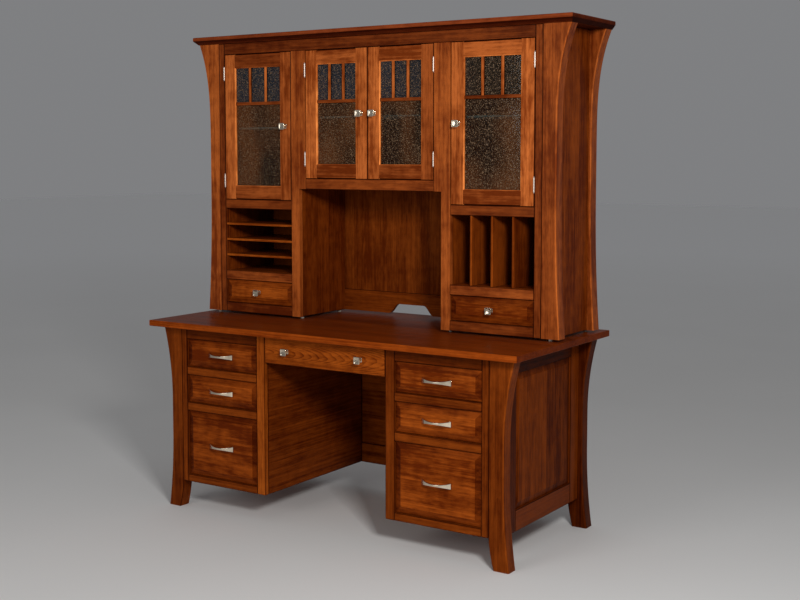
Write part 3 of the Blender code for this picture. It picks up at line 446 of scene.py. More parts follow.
for word, side in SIDES.items():
    low, high = reach(f"{word}_pedestal_case")
    knee, leg_side = sorted(abs(reach(f"{word}_face_frame")[:, 0]))
    out = max(abs(low[0]), abs(high[0]))
    front, back, foot, top = low[1], high[1], low[2], high[2]
    side_front = reach(f"leg_front_{word}")[1][1] + FIT
    side_back = reach(f"leg_back_{word}")[0][1] - FIT
    inside = back - BOARD
    panels = [sided(side, (knee, inside, foot), (leg_side, back, top), 2)]
    stiles = ((side_front, side_front + SIDE_STILE), (side_back - SIDE_STILE, side_back))
    rails = ((foot, foot + SIDE_BOTTOM_RAIL), (top + FIT - SIDE_TOP_RAIL, top))
    between = (stiles[0][1], stiles[1][0])
    boards = [sided(side, (out - BOARD, y0, foot), (out, y1, top), 2, stain=stain)
              for (y0, y1), stain in zip(stiles, SIDE_STILE_STAIN_AND_SHADE)]
    boards += [sided(side, (out - BOARD, between[0], z0), (out, between[1], z1), 1, stain=stain)
               for (z0, z1), stain in zip(rails, SIDE_RAIL_STAIN_AND_SHADE)]
    boards += [sided(side, (knee, front, foot), (knee + BOARD, inside, top), 1),
               sided(side, (knee + BOARD, front, foot), (leg_side, inside, foot + BOARD), 0),
               sided(side, (leg_side, side_front, foot), (out - BOARD, side_back, foot + BOARD), 1)]
    field = out - PANEL_STEP
    inset = PANEL_TONGUE + PANEL_BEVEL
    levels = [(0, field - PANEL_THICKNESS), (0, field - PANEL_DROP), (inset, field - PANEL_STEP),
              (inset + FIELD_EASE, field - FIELD_EASE), (inset + FIELD_FLAT, field)]
    panel = raised_panel((between[0] - PANEL_TONGUE, between[1] + PANEL_TONGUE),
                         (rails[0][1] - PANEL_TONGUE, rails[1][0] + PANEL_TONGUE), 0,
                         [(drawn_in, side * x) for drawn_in, x in levels])
    panels.append(figured(panel, 2, SIDE_PANEL_TONE, np.reshape(SIDE_PANEL_STAIN_AND_HIGHLIGHT, (-1, 1))))
    runners = []
    for row in ("top", "middle", "file"):
        drawer = reach(f"{word}_{row}_drawer")
        inner, outer = sorted(abs(drawer[:, 0]))
        level = drawer[0][2] - FIT
        under = level - RUNNER_HEIGHT
        runners += [((knee + BOARD, front, under), (inner + RUNNER_REACH, inside, level)),
                    ((outer - RUNNER_REACH, side_front, under), (out - BOARD, side_back, level))]
    edge, level = PENCIL_RUNNER
    runners.append(((edge, front, level - RUNNER_HEIGHT), (knee, front + PENCIL_RUN, level)))
    runners = [sided(side, *corners, 1, joint=MAPLE_JOINT) for corners in runners]
    assemble(f"{word}_case_frame", boards, CHERRY, "cherry", "carcass", f"{word}_pedestal_case")
    assemble(f"{word}_case_panels", panels, CHERRY_GLUED_SHADED, "cherry", "carcass")
    assemble(f"{word}_drawer_runners", runners, MAPLE, "maple", "carcass")


# Pedestal face frames
# A cherry frame round the drawers of each pedestal: two stiles with four rails between them, tenoned
# and glued. It is flush with the drawer fronts and closes the front of its case.

REVEAL = 0.002  # gap round a drawer front or a door
STILE_TONE = 0.2
LEFT_STILE_STAIN = 0.9
RIGHT_STILE_STAIN = {"left": 1.8, "right": 0.9}
# The top rail is darkened with painted shadow of the overhanging desk top.
RAIL_STAIN_AND_SHADE = (1.0, 1.0, 1.0, 0.6)  # from the foot up

for word in SIDES:
    low, high = reach(f"{word}_face_frame")
    openings = [reach(f"{word}_{row}_drawer") for row in ("file", "middle", "top")]
    x0, x1 = openings[0][:, 0] + (-REVEAL, REVEAL)
    boards = [board(low, (x0, high[1], high[2]), 2, STILE_TONE, LEFT_STILE_STAIN),
              board((x1, low[1], low[2]), high, 2, STILE_TONE, RIGHT_STILE_STAIN[word])]
    feet = [opening[0][2] - FIT for opening in openings] + [high[2]]
    heads = [low[2]] + [opening[1][2] + REVEAL for opening in openings]
    boards += [board((x0, low[1], z0), (x1, high[1], z1), 0, stain=stain)
               for z0, z1, stain in zip(heads, feet, RAIL_STAIN_AND_SHADE)]
    assemble(f"{word}_frame_boards", boards, CHERRY, "cherry", "carcass", f"{word}_face_frame")


# Modesty panel
# A panel of glued cherry boards across the back of the kneehole, with its grain level. A rail along its
# foot stands a little proud, and both are glued between the pedestals.

MODESTY_RAIL = 0.083
MODESTY_RAIL_PROUD = 0.004
MODESTY_STAIN = 1.3
low, high = reach("modesty_panel")
panel_low = low + (0, MODESTY_RAIL_PROUD, MODESTY_RAIL)
panel = board(panel_low, high, 0, stain=MODESTY_STAIN)
rail = board(low, (high[0], high[1], panel_low[2]), 0, stain=MODESTY_STAIN)
assemble("modesty_boards", [panel, rail], CHERRY_GLUED_SHADED, "cherry_dark", "carcass", "modesty_panel")


# Desk top
# One wide top of glued cherry boards with the grain along the desk and a small round on every edge. It has
# the same satin lacquer as the rest and is screwed down from inside the pedestals.

TOP_ROUND = 0.003
TOP_TONE = 0.0
EDGE_PAINTED_LIGHT = 1.5  # the long edges are painted paler than the face: painted light
END_STAIN_AND_SHADE = 0.7  # the ends are darkened with painted shade
PAINTED_HIGHLIGHT = 1.5  # a painted highlight makes the upper arris paler still
low, high = reach("desk_top")
swing = np.linspace(0, np.pi / 2, 5)
rise, fall = TOP_ROUND * (1 - np.sin(swing)), TOP_ROUND * (1 - np.cos(swing))
levels = [*zip(rise, low[2] + fall), *zip(fall, high[2] - rise)]
stain = grain_stain([1.0, 1.0, 1.2, *[EDGE_PAINTED_LIGHT] * 5, PAINTED_HIGHLIGHT * EDGE_PAINTED_LIGHT, 1.0],
                    [1.0, 1.0, 0.9, *[END_STAIN_AND_SHADE] * 5, PAINTED_HIGHLIGHT * END_STAIN_AND_SHADE, 1.0], True)
CHERRY_TOP = timber("cherry_top", (0.095, 0.0108, 0.0007), (0.265, 0.0440, 0.0036), stave=0.125, curl=0.8,
                    gloss=0.03)
rings = raised_panel((low[0], high[0]), (low[1], high[1]), 2, levels)
assemble("desk_top_board", [figured(rings, 0, TOP_TONE, stain)], CHERRY_TOP, "cherry", "carcass", "desk_top")


# Pedestal drawers
# A raised front of one cherry board, or of two glued ones on the deep file drawer, with a maple box tenoned
# into its back. The box runs on the wooden runners of its pedestal.

FRONT_THICKNESS = 0.019
EASED = 0.0007  # sanded arris
BOX_WALL = 0.012
BOX_BOTTOM = 0.006
BOX_BOTTOM_UP = 0.006
BOX_SIDE_GAP = 0.004
BOX_TENON = 0.004
BOX_HEADROOM = 0.022
# The bevels are darker, partly stain and partly painted shade; the end bevels are darker still with painted
# shade.
FRONT_STAIN_AND_SHADE = (0.5, 0.4, 0.64, 0.72, 1.1, 1.0)  # long edges, from the back over the bevel to the field
FRONT_END_STAIN_AND_SHADE = (0.4, 0.25, 0.44, 0.50, 1.0, 1.0)
DRAWER_STAIN = {"left": 1.1, "right": 1.25}
FILE_STAIN = {"left": 1.0, "right": 1.1}
FILE_STAVE = 0.128
FILE_TONE = {"left": -0.0625, "right": 0.215}
FRONT_COLOURS = ((0.110, 0.0145, 0.0010), (0.33, 0.0640, 0.0060))
CHERRY_FRONT = timber("cherry_front", *FRONT_COLOURS, curl=1.8)
CHERRY_FILE = timber("cherry_file", *FRONT_COLOURS, stave=FILE_STAVE, match=0.45, curl=1.8)


def drawer_box(x, y, z):
    """Four thin boards round an open box: two sides along Y, and a back and a bottom along X."""
    (x0, x1), (y0, y1), (z0, z1) = x, y, z
    floor = z0 + BOX_BOTTOM_UP
    parts = [((x0, y0, z0), (x0 + BOX_WALL, y1, z1), 1), ((x1 - BOX_WALL, y0, z0), (x1, y1, z1), 1),
             ((x0 + BOX_WALL, y1 - BOX_WALL, z0), (x1 - BOX_WALL, y1, z1), 0),
             ((x0 + BOX_WALL, y0, floor), (x1 - BOX_WALL, y1 - BOX_WALL, floor + BOX_BOTTOM), 0)]
    return [board(*part, joint=MAPLE_JOINT) for part in parts]


def raised_drawer(name, finish, stain, tone=None, stave=None):
    """Front with a bevel round its field, and the box behind it, both from the node's own box. stave is the
    width of the two boards of a deep front, which meet at half its height."""
    low, high = reach(name)
    foot, face = low[2] - FIT, low[1]
    back = face + FRONT_THICKNESS
    levels = [(0, back), (0, face + PANEL_DROP + EASED), (EASED, face + PANEL_DROP),
              (PANEL_BEVEL, face + PANEL_STEP), (PANEL_BEVEL + FIELD_EASE, face + FIELD_EASE),
              (PANEL_BEVEL + FIELD_FLAT, face)]
    rings = raised_panel((foot + REVEAL, high[2]), (low[0], high[0]), 1, levels)
    front = figured(rings, 0, tone, stain * grain_stain(FRONT_STAIN_AND_SHADE, FRONT_END_STAIN_AND_SHADE, False))
    if stave:
        front[2][:, 1] += stave / 2 - front[2][:, 1].mean()
    assemble(f"{name}_front", [front], finish, "cherry", f"{name}_unit", name)
    box = drawer_box((low[0] + BOX_SIDE_GAP, high[0] - BOX_SIDE_GAP), (back - BOX_TENON, high[1]),
                     (foot + FIT, high[2] + REVEAL - BOX_HEADROOM))
    assemble(f"{name}_box", box, MAPLE, "maple", f"{name}_unit")


for word in SIDES:
    for row in ("top", "middle"):
        raised_drawer(f"{word}_{row}_drawer", CHERRY_FRONT, DRAWER_STAIN[word])
    raised_drawer(f"{word}_file_drawer", CHERRY_FILE, FILE_STAIN[word], FILE_TONE[word], FILE_STAVE)


# Bow pulls
# Cast and brushed nickel: a bar that arches out from two broad feet and thins towards its middle, screwed on
# from inside the drawer.

PULL_PROJECTION = 0.028
PULL_END_PROJECTION = 0.0055
PULL_BAR = 0.005
PULL_MID_HEIGHT = 0.0075
PULL_FOOT = 0.008
PULL_POWER = 2.2
PULL_EDGE = 0.0014
PULL_LEAST_EDGE = 0.0002
PULL_HOLD = 0.0003


def own_place(tree):
    """Place of each point in the coordinates of its own piece."""
    return wire(tree, "TexCoord")["Object"]


def brushed_nickel(name, dark, light, sheen):
    """Warm grey metal whose roughness and fine scratches are noise drawn out along X."""
    material, tree, shader = surface(name)
    place = own_place(tree)
    scratch = drawn_out(place, (90.0, 1800.0, 1800.0), 3.0)
    cloud = drawn_out(place, (35.0, 60.0, 60.0))
    feed(shader, {"Base Color": blend(cloud, dark, light), "Metallic": 1.0,
                  "Roughness": scaled(reckon("SUBTRACT", scratch, 0.5), 0.2, sheen),
                  "Normal": dented(scratch, 0.15, 0.0001)})
    return material


NICKEL = brushed_nickel("brushed_nickel", (0.48, 0.39, 0.29), (0.96, 0.84, 0.66), 0.14)


def bow_pull(node):
    """Rings along a pull. Its front falls from the middle with the square of the distance, its height grows
    with a power of that distance, and its back follows the front, then drops to the drawer at each foot."""
    low, high = reach(node)
    half, end_height = (high[0] - low[0]) / 2, high[2] - low[2]
    middle = (low + high) / 2
    bend = half - PULL_FOOT - 1.5 * PULL_BAR
    swing = np.linspace(0, np.pi / 2, 4)[1:]
    run = np.concatenate([np.linspace(0, bend, 20), np.linspace(bend, half - PULL_FOOT, 13)[1:],
                          np.linspace(half - PULL_FOOT, half - PULL_EDGE, 5)[1:],
                          half - PULL_EDGE + PULL_EDGE * np.sin(swing)])
    inset = np.concatenate([np.zeros(len(run) - len(swing)), PULL_EDGE * (1 - np.cos(swing))])
    run, inset = np.concatenate([-run[:0:-1], run]), np.concatenate([inset[:0:-1], inset])
    share = np.abs(run) / half
    rise = PULL_PROJECTION - PULL_END_PROJECTION
    out = PULL_PROJECTION - rise * share ** 2
    bar = PULL_BAR * np.hypot(1, 2 * rise * share / half)
    step = np.clip((np.abs(run) - bend) / (half - PULL_FOOT - bend), 0, 1)
    step = step * step * (3 - 2 * step)
    back = (out - bar) * (1 - step) + FIT * step
    tall = (PULL_MID_HEIGHT + (end_height - PULL_MID_HEIGHT) * share ** PULL_POWER) / 2
    radius = np.maximum(PULL_EDGE - inset, PULL_LEAST_EDGE)
    loop = rounded_loop((back, out - inset), (inset - tall, tall - inset), [radius] * 4, 4, hold=PULL_HOLD)
    return laid(middle[0] + run[:, None], high[1] + FIT - loop[..., 0], middle[2] + loop[..., 1])


for word in SIDES:
    for row in ("top", "middle", "file"):
        node = f"{word}_{row}_drawer_pull"
        assemble(f"{node}_metal", [figured(bow_pull(node), 0)], NICKEL, "nickel", f"{word}_{row}_drawer_unit",
                 node, smooth=45)


# Pencil drawer
# A plain slab front with a bold flame in its grain, a shallow maple tray behind it, and two square nickel
# knobs with a dished face, each held by its own screw.

PENCIL_SIDE_GAP = 0.014
PENCIL_LIFT = 0.016
SLAB_EDGE = 0.003
SLAB_EASE = 0.0009  # the edge of the slab is rounded through this point
SLAB_TONE = 0.3
SLAB_STAIN = (JOINT, JOINT, JOINT, 1.0)
KNOB_FACE = 0.027
KNOB_NECK = 0.011
KNOB_FOOT = 0.017
KNOB_FOOT_THICKNESS = 0.003
KNOB_FOOT_CHAMFER = 0.001
KNOB_FOOT_EDGE = (0.0005, 0.0004)  # rounding below and above the face of the foot
KNOB_PROJECTION = 0.025
KNOB_EDGE = 0.0025
KNOB_DISH = 0.0015
KNOB_DISH_RUN = 0.006
KNOB_CORNER = 0.14  # corner radius as a share of the width
FLAME_SLOPE = 0.07  # the face is sawn at this slope to the heart
FLAME_HEART = 0.045  # and the heart lies this far behind its middle
CHERRY_FLAME = timber("cherry_flame", (0.115, 0.0155, 0.0010), (0.37, 0.0760, 0.0065), ring=0.0036,
                      streak=0.8, bands=0.7, curl=1.2)


def square_knob(node):
    """Rings out along a knob: a rounded square whose width is the foot's, then grows from the neck to the
    face with the square of the distance out, turns over a rim and sinks into a shallow dish."""
    low, high = reach(node)
    middle = (low + high) / 2
    start, end = 2 * KNOB_FOOT_THICKNESS, KNOB_PROJECTION - KNOB_EDGE
    share = np.linspace(0, 1, 15)
    bend = np.linspace(0, np.pi / 2, 5)
    flared = np.stack([KNOB_NECK + (KNOB_FACE - KNOB_NECK) * share ** 2, start + (end - start) * share])
    rim = np.stack([KNOB_FACE - KNOB_EDGE * (1 - np.cos(bend)), end + KNOB_EDGE * np.sin(bend)])
    dish = np.stack([KNOB_FACE - 2 * KNOB_EDGE - KNOB_DISH_RUN * share,
                     KNOB_PROJECTION - KNOB_DISH * share ** 0.7])
    below, above = KNOB_FOOT_EDGE
    foot = np.array([[KNOB_FOOT, KNOB_FOOT, KNOB_FOOT - KNOB_FOOT_CHAMFER, KNOB_NECK + KNOB_FOOT_CHAMFER],
                     [FIT, KNOB_FOOT_THICKNESS - below, KNOB_FOOT_THICKNESS, KNOB_FOOT_THICKNESS + above]])
    width, out = np.concatenate([foot, flared, rim[:, 1:], dish[:, 1:]], axis=1)
    half = width / 2
    loop = rounded_loop((-half, half), (-half, half), [KNOB_CORNER * width] * 4, 5)
    return laid(middle[0] + loop[..., 0], high[1] + FIT - out[:, None], middle[2] + loop[..., 1])


def fit_knob(node, body):
    """Put a knob in the place of its node."""
    assemble(f"{node}_metal", [figured(square_knob(node), 1)], NICKEL, "nickel", body, node, smooth=35)


low, high = reach("pencil_drawer")
face, back = low[1], low[1] + FRONT_THICKNESS
levels = [(0, back), (0, face + SLAB_EDGE), (SLAB_EASE, face + SLAB_EASE), (SLAB_EDGE, face)]
slab = raised_panel((low[2], high[2]), (low[0], high[0]), 1, levels)
slab = figured(slab, 0, SLAB_TONE, np.reshape(SLAB_STAIN, (-1, 1)))
slab[2][:, 1:] += np.array([0.0, FLAME_HEART]) - slab[2][:, 1:].mean(axis=0)
slab[2][:, 2] += FLAME_SLOPE * slab[0][:, 0]
assemble("pencil_drawer_front", [slab], CHERRY_FLAME, "cherry", "pencil_drawer_unit", "pencil_drawer")
tray = drawer_box((low[0] + PENCIL_SIDE_GAP, high[0] - PENCIL_SIDE_GAP), (back - BOX_TENON, high[1]),
                  (low[2] - REVEAL + PENCIL_LIFT + FIT, high[2] + REVEAL - BOX_HEADROOM))
assemble("pencil_drawer_tray", tray, MAPLE, "maple", "pencil_drawer_unit")
for word in SIDES:
    fit_knob(f"pencil_drawer_knob_{word}", "pencil_drawer_unit")


# Hutch posts
# Four cherry posts shaped like the legs, with a slow flare at the foot and a sharp one under the crown. The
# hutch stands on small round rubber pads, under the posts and under both partitions.

# The glint of the posts is a painted highlight on their rounded edge.
POST = {"waist": 0.055, "top": (0.055, 0.440, 3.3), "foot": (0.018, 0.480, 2.0),
        "kick": (0.0, 0.010, 1.5), "painted_glint": 1.8}
POST_STAIN = {"left": 1.35, "right": 0.9}
POST_TONE = 0.3
PAD_HEIGHT = 0.010
PAD_RADIUS = 0.008
PAD_BULGE = 0.18
PARTITION_PADS = (0.3535, (0.008, 0.264))  # distance from the middle, and places front and back
# The raised blue in its light colour is a painted sheen.
CHERRY_POST = timber("cherry_post", (0.138, 0.0202, 0.0026), (0.37, 0.0800, 0.0130), curl=1.8, gloss=0.08)


def rubber():
    """Pale rubber with a faint dusty mottle."""
    material, tree, shader = surface("pale_rubber")
    dust = drawn_out(own_place(tree), (300.0, 300.0, 300.0))
    feed(shader, {"Base Color": blend(dust, (0.42, 0.38, 0.31), (0.66, 0.62, 0.54)),
                  "Roughness": scaled(dust, 0.3, 0.4)})
    return material


def turned(x, y, height, radius, sides):
    """Rings up a round piece on an upright axis: at each height, a circle of its radius."""
    angle = np.linspace(0, 2 * np.pi, sides + 1)[:-1]
    radius = radius[:, None]
    return laid(x + radius * np.cos(angle), y + radius * np.sin(angle), height[:, None])


def pad(x, y, foot):
    """Rings up a round pad: a radius that bulges with the sine of the height."""
    share = np.linspace(0, 1, 9)
    radius = PAD_RADIUS * (1 - PAD_BULGE + PAD_BULGE * np.sin(np.pi * share))
    return turned(x, y, foot + FIT + (PAD_HEIGHT - FIT) * share, radius, 24)


desk_height = reach("desk_top")[1][2]
pads = []
for word, side in SIDES.items():
    for row in ("front", "back"):
        node = f"hutch_post_{row}_{word}"
        rings, stain = flared_upright(node, desk_height + PAD_HEIGHT, **POST)
        post = figured(rings, 2, POST_TONE, POST_STAIN[word] * stain)
        assemble(f"shaped_post_{row}_{word}", [post], CHERRY_POST, "cherry", "carcass", node, smooth=40)
        low, high = reach(node)
        seam = min(abs(low[0]), abs(high[0]))
        pads.append(pad(side * (seam + POST["waist"] / 2), (low[1] + high[1]) / 2, desk_height))
    pads += [pad(side * PARTITION_PADS[0], y, desk_height) for y in PARTITION_PADS[1]]
assemble("hutch_pads", [figured(rings, 2) for rings in pads], rubber(), "pad", "carcass", smooth=50)


# Hutch case
# Sides, partitions, decks and thin slot boards of solid cherry, housed and glued. Little nickel pegs in the
# cupboard walls carry the shelves.

PARTITION = 0.039
SLOT_BOARD = 0.008
SLOT_COUNT = 4
SLOT_SETBACK = 0.004
SLOT_JOINT = 1.3
SLOT_STAIN = 1.0
# The front strips of the letter shelves are painted paler with painted light.
LETTER_LIGHT = 2.0  # front strips of the letter shelves
PEG_REACH = 0.009
PEG_WIDTH = 0.0058
PEG_ROUND = 0.0026
PEG_FROM_END = 0.030
frame_low, frame_high = reach("hutch_face_frame")
case_high = reach("hutch_case")[1]
seam, hutch_top, hutch_foot = frame_high[0], frame_high[2], frame_low[2]
inside = (frame_high[1] + FIT, case_high[1])
between_posts = (reach("hutch_post_front_right")[1][1] + FIT, reach("hutch_post_back_right")[0][1] - FIT)
side_out = case_high[0]
side_in = side_out - BOARD
drawer_low, drawer_high = reach("right_hutch_drawer")
bay_inner, bay_outer = drawer_low[0] - REVEAL, drawer_high[0] + REVEAL
centre = bay_inner - PARTITION
drawer_foot, drawer_top = drawer_low[2] - FIT, drawer_high[2] + REVEAL
door_foot, door_top = reach("right_door")[:, 2] + (-REVEAL, REVEAL)
centre_door_foot = reach("centre_left_door")[0][2] - REVEAL
rail_height = drawer_foot - hutch_foot
slots_foot, slots_top = drawer_top + rail_height, door_foot - rail_height
ceiling = hutch_top - BOARD
CHERRY_CASE = timber("cherry_case", (0.095, 0.0125, 0.0009), (0.265, 0.0500, 0.0045), stave=0.12, match=0.45,
                     streak=0.8, curl=1.4, gloss=0.03)

boards = [board((-seam, inside[0], ceiling), (seam, inside[1], hutch_top), 0),
          board((-centre, inside[0], centre_door_foot - BOARD), (centre, inside[1], centre_door_foot), 0)]
for side in SIDES.values():
    half = [((centre, inside[0], hutch_foot), (bay_inner, inside[1], ceiling), 2),
            ((seam, between_posts[0], ceiling), (side_in, between_posts[1], hutch_top), 0)]
    for deck in (drawer_foot, slots_foot, door_foot):
        half += [((bay_inner, inside[0], deck - BOARD), (seam, inside[1], deck), 0),
                 ((seam, between_posts[0], deck - BOARD), (side_in, between_posts[1], deck), 0)]
    half.append(((side_in, between_posts[0], hutch_foot), (side_out, between_posts[1], hutch_top), 2))
    boards += [sided(side, *part) for part in half]
assemble("hutch_case_boards", boards, CHERRY_CASE, "cherry", "carcass", "hutch_case")

slot_front = frame_low[1] + SLOT_SETBACK
lining = ((bay_outer, inside[0], slots_foot), (bay_outer + SLOT_BOARD, inside[1], door_foot - BOARD))
slots = [(*mirrored(side, *lining), 2, SLOT_STAIN) for side in SIDES.values()]
for share in np.arange(1, SLOT_COUNT) / SLOT_COUNT:
    z = slots_foot + (slots_top - slots_foot) * share
    z0, z1 = z - SLOT_BOARD / 2, z + SLOT_BOARD / 2
    x = bay_inner + (bay_outer - bay_inner) * share
    x0, x1 = x - SLOT_BOARD / 2, x + SLOT_BOARD / 2
    slots += [((-bay_outer, inside[0], z0), (-bay_inner, inside[1], z1), 0, SLOT_STAIN),
              ((-bay_outer + FIT, slot_front, z0), (-bay_inner - FIT, inside[0], z1), 0, LETTER_LIGHT),
              ((x0, slot_front, slots_foot + FIT), (x1, inside[1], slots_top - FIT), 2, SLOT_STAIN)]
slots = [board(low, high, along, stain=stain, joint=SLOT_JOINT) for low, high, along, stain in slots]
assemble("hutch_slot_boards", slots, CHERRY_CASE, "cherry", "carcass")

pegs = []
centre_level = reach("centre_glass_shelf")[0][2] - FIT
for word, side in SIDES.items():
    level = reach(f"{word}_glass_shelf")[0][2] - FIT
    for wall, way, z in ((bay_inner, 1, level), (side_in, -1, level), (centre, -1, centre_level)):
        for y in (between_posts[0] + PEG_FROM_END, between_posts[1] - PEG_FROM_END - PEG_WIDTH):
            ends = mirrored(side, (wall, y, z - PEG_WIDTH), (wall + way * PEG_REACH, y + PEG_WIDTH, z))
            pegs.append(figured(plank(*ends, 0, PEG_ROUND, 4), 0))
assemble("shelf_pegs", pegs, NICKEL, "nickel", "carcass", smooth=50)


# Hutch back panel
# A wide panel of upright glued boards, set in behind the case, with a level rail along its foot. A notch with
# sweeping ends is sawn through both for wires.

BACK_THICKNESS = 0.012
BACK_RAIL_HEIGHT = 0.089
BACK_SEAM = 0.0022  # dark line over the rail: painted shadow of the gap between rail and panel
SEAM_SETBACK = 0.0011
SEAM_EASE = 0.00044
SEAM_SHADE = 0.3
NOTCH_WIDTH = 0.218
NOTCH_TOP_WIDTH = 0.122
NOTCH_HEIGHT = 0.040
CHERRY_BACK = timber("cherry_back", (0.100, 0.0145, 0.0012), (0.27, 0.0560, 0.0060), stave=0.165, streak=0.65,
                     curl=1.4)


def sawn(outline, y):
    """Two rings, front and back, of a board sawn to an outline in X and Z."""
    return laid(outline[:, 0], np.reshape(y, (2, 1)), outline[:, 1])


def notched_board(half, foot, top, y):
    """A sawn board whose foot has a notch: a flat middle, and ends that sweep up with half a wave of a
    cosine."""
    share = np.linspace(0, 1, 17)
    sweep = (NOTCH_WIDTH - NOTCH_TOP_WIDTH) / 2
    climb = foot + NOTCH_HEIGHT * (1 - np.cos(np.pi * share)) / 2
    rise = np.stack([sweep * share - NOTCH_WIDTH / 2, climb], axis=1)
    ends = [(half, foot), (half, top), (-half, top)]
    return sawn(np.concatenate([[(-half, foot)], rise, rise[::-1] * (-1, 1), ends]), y)


low, high = reach("hutch_back_panel")
back_face = high[1] - BACK_THICKNESS
rail_top = low[2] + BACK_RAIL_HEIGHT
panel = figured(notched_board(high[0], low[2], high[2], (back_face, high[1])), 2)
rail = figured(notched_board(centre - FIT, low[2], rail_top - BACK_SEAM, (low[1], back_face)), 0)
# A thin strip, darkened as painted shadow of the gap, lies over the rail.
shadow_line = plank((FIT - centre, low[1] + SEAM_SETBACK, rail_top - BACK_SEAM),
                  (centre - FIT, back_face, rail_top), 0, SEAM_EASE)
shadow_line = figured(shadow_line, 0, stain=SEAM_SHADE)
assemble("back_panel_boards", [panel], CHERRY_BACK, "cherry_dark", "carcass", "hutch_back_panel")
assemble("back_panel_rail", [rail, shadow_line], CHERRY, "cherry_dark", "carcass")


# Hutch face frame
# Cherry stiles and rails of the hutch front, glued up flush with its doors and drawers. The stiles beside
# the centre doors are sawn narrower below them, along the open desk space.

CENTRE_RAIL = 0.042
# The top rail is darkened with painted shadow of the crown.
TOP_RAIL_SHADE = 0.55
CENTRE_RAIL_STAIN = 0.85
OUTER_STILE_STAIN = 0.75
INNER_STILE_STAIN = 1.2
BAY_RAIL_STAIN = (0.75, 1.0, 0.7)  # under the drawer, under the slots and over them
centre_door = -reach("centre_left_door")[0][0] + REVEAL
centre_top = centre_door_foot - CENTRE_RAIL
hutch_face, behind = frame_low[1], frame_high[1]
boards = [board((-bay_outer, hutch_face, door_top), (bay_outer, behind, hutch_top), 0, stain=TOP_RAIL_SHADE),
          board((-centre_door, hutch_face, centre_top), (centre_door, behind, centre_door_foot), 0,
                stain=CENTRE_RAIL_STAIN)]
for side in SIDES.values():
    boards.append(sided(side, (bay_outer, hutch_face, hutch_foot), (seam, behind, hutch_top), 2,
                        stain=OUTER_STILE_STAIN))
    outline = np.array([(centre, hutch_foot), (bay_inner, hutch_foot), (bay_inner, door_top),
                        (centre_door, door_top), (centre_door, centre_top), (centre, centre_top)]) * (side, 1)
    boards.append(figured(sawn(outline, (hutch_face, behind)), 2, stain=INNER_STILE_STAIN))
    boards += [sided(side, (bay_inner, hutch_face, z), (bay_outer, behind, z + rail_height), 0, stain=stain)
               for z, stain in zip((hutch_foot, drawer_top, slots_top), BAY_RAIL_STAIN)]
assemble("hutch_frame_boards", boards, CHERRY_POST, "cherry", "carcass", "hutch_face_frame")


# Crown
# A flat cherry board that caps the hutch, with the grain along it. Its front and ends are bevelled back under
# a square lip with a rounded upper edge, and it is screwed down on the posts.

CROWN_THICKNESS = 0.030
CROWN_BEVEL = 0.015
CROWN_SEAT = 0.002
CROWN_CHAMFER = 0.001
CROWN_ROUND = 0.003
LIP_EASE = 0.0006
CROWN_TONE = 0.0
# The bevel under the lip is darkened with painted shade, and the ends, bevel and lip, still more.
CROWN_STAIN_AND_SHADE = (0.5, 0.12, 0.9, 1.05, 1.2, 0.8)  # front, from the foot of the bevel over the lip
CROWN_END_SHADE = (0.1, 0.1, 0.3, 0.4, 0.8, 0.8)
CHERRY_CROWN = timber("cherry_crown", (0.105, 0.0140, 0.0030), (0.30, 0.0590, 0.0150), rough=0.6)
low, high = reach("hutch_crown")
post_out = reach("hutch_post_front_right")[1][0]
drawn_in = np.array([CROWN_CHAMFER, 0, 0, CROWN_CHAMFER, CROWN_ROUND])
half = np.append(post_out + CROWN_SEAT, high[0] - drawn_in)
front = np.append(hutch_face - CROWN_SEAT, low[1] + drawn_in)
level = low[2] + np.array([0.0, CROWN_BEVEL - LIP_EASE, CROWN_BEVEL + LIP_EASE, CROWN_THICKNESS - CROWN_ROUND,
                           CROWN_THICKNESS - CROWN_CHAMFER, CROWN_THICKNESS])
loop = rounded_loop((-half, half), (front, high[1]), [EASED] * 4, 1)
crown = laid(loop[..., 0], loop[..., 1], level[:, None])
crown = figured(crown, 0, CROWN_TONE, grain_stain(CROWN_STAIN_AND_SHADE, CROWN_END_SHADE, True))
assemble("crown_board", [crown], CHERRY_CROWN, "cherry", "carcass", "hutch_crown")


# Glass shelves
# Clear plate glass, cut square, with ground edges that show green. Each shelf lies loose on four pegs
# inside its cupboard.

def shelf_glass():
    """Clear plate: nearly see-through on its faces, greener and denser on its ground edges."""
    material, tree, shader = surface("shelf_glass")
    up = split(wire(tree, "NewGeometry")["True Normal"])[2]
    edge = reckon("LESS_THAN", reckon("ABSOLUTE", up), 0.5)
    smear = drawn_out(own_place(tree), (9.0, 14.0, 9.0), 3.0)
    feed(shader, {"Base Color": blend(edge, (0.20, 0.24, 0.22), (0.44, 0.74, 0.70)),
                  "Alpha": scaled(edge, 0.6, scaled(smear, 0.1, 0.10)),
                  "Roughness": scaled(smear, 0.12, 0.02)})
    return material


def glaze(node, glass):
    """Give a sheet of the frame its glass."""
    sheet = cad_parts[node]
    sheet.data.materials.clear()
    sheet.data.materials.append(glass)


PLATE = shelf_glass()
for word in ("left", "centre", "right"):
    glaze(f"{word}_glass_shelf", PLATE)


# Hutch drawers
# Two small drawers under the slots, made like those of the pedestals: a raised cherry front on a maple box.
# Each has one square knob.

HUTCH_DRAWER_STAIN = {"left": 1.4, "right": 1.25}

for word in SIDES:
    raised_drawer(f"{word}_hutch_drawer", CHERRY_FRONT, HUTCH_DRAWER_STAIN[word])
    fit_knob(f"{word}_hutch_drawer_knob", f"{word}_hutch_drawer_unit")


# Glazed doors
# Cherry stiles and rails, grooved for one sheet of seeded glass, with thin bars in front of it that make
# three small panes over a tall one. Each door hangs on two nickel butt hinges and has a square knob.

BOTTOM_RAIL_STAIN = 0.8
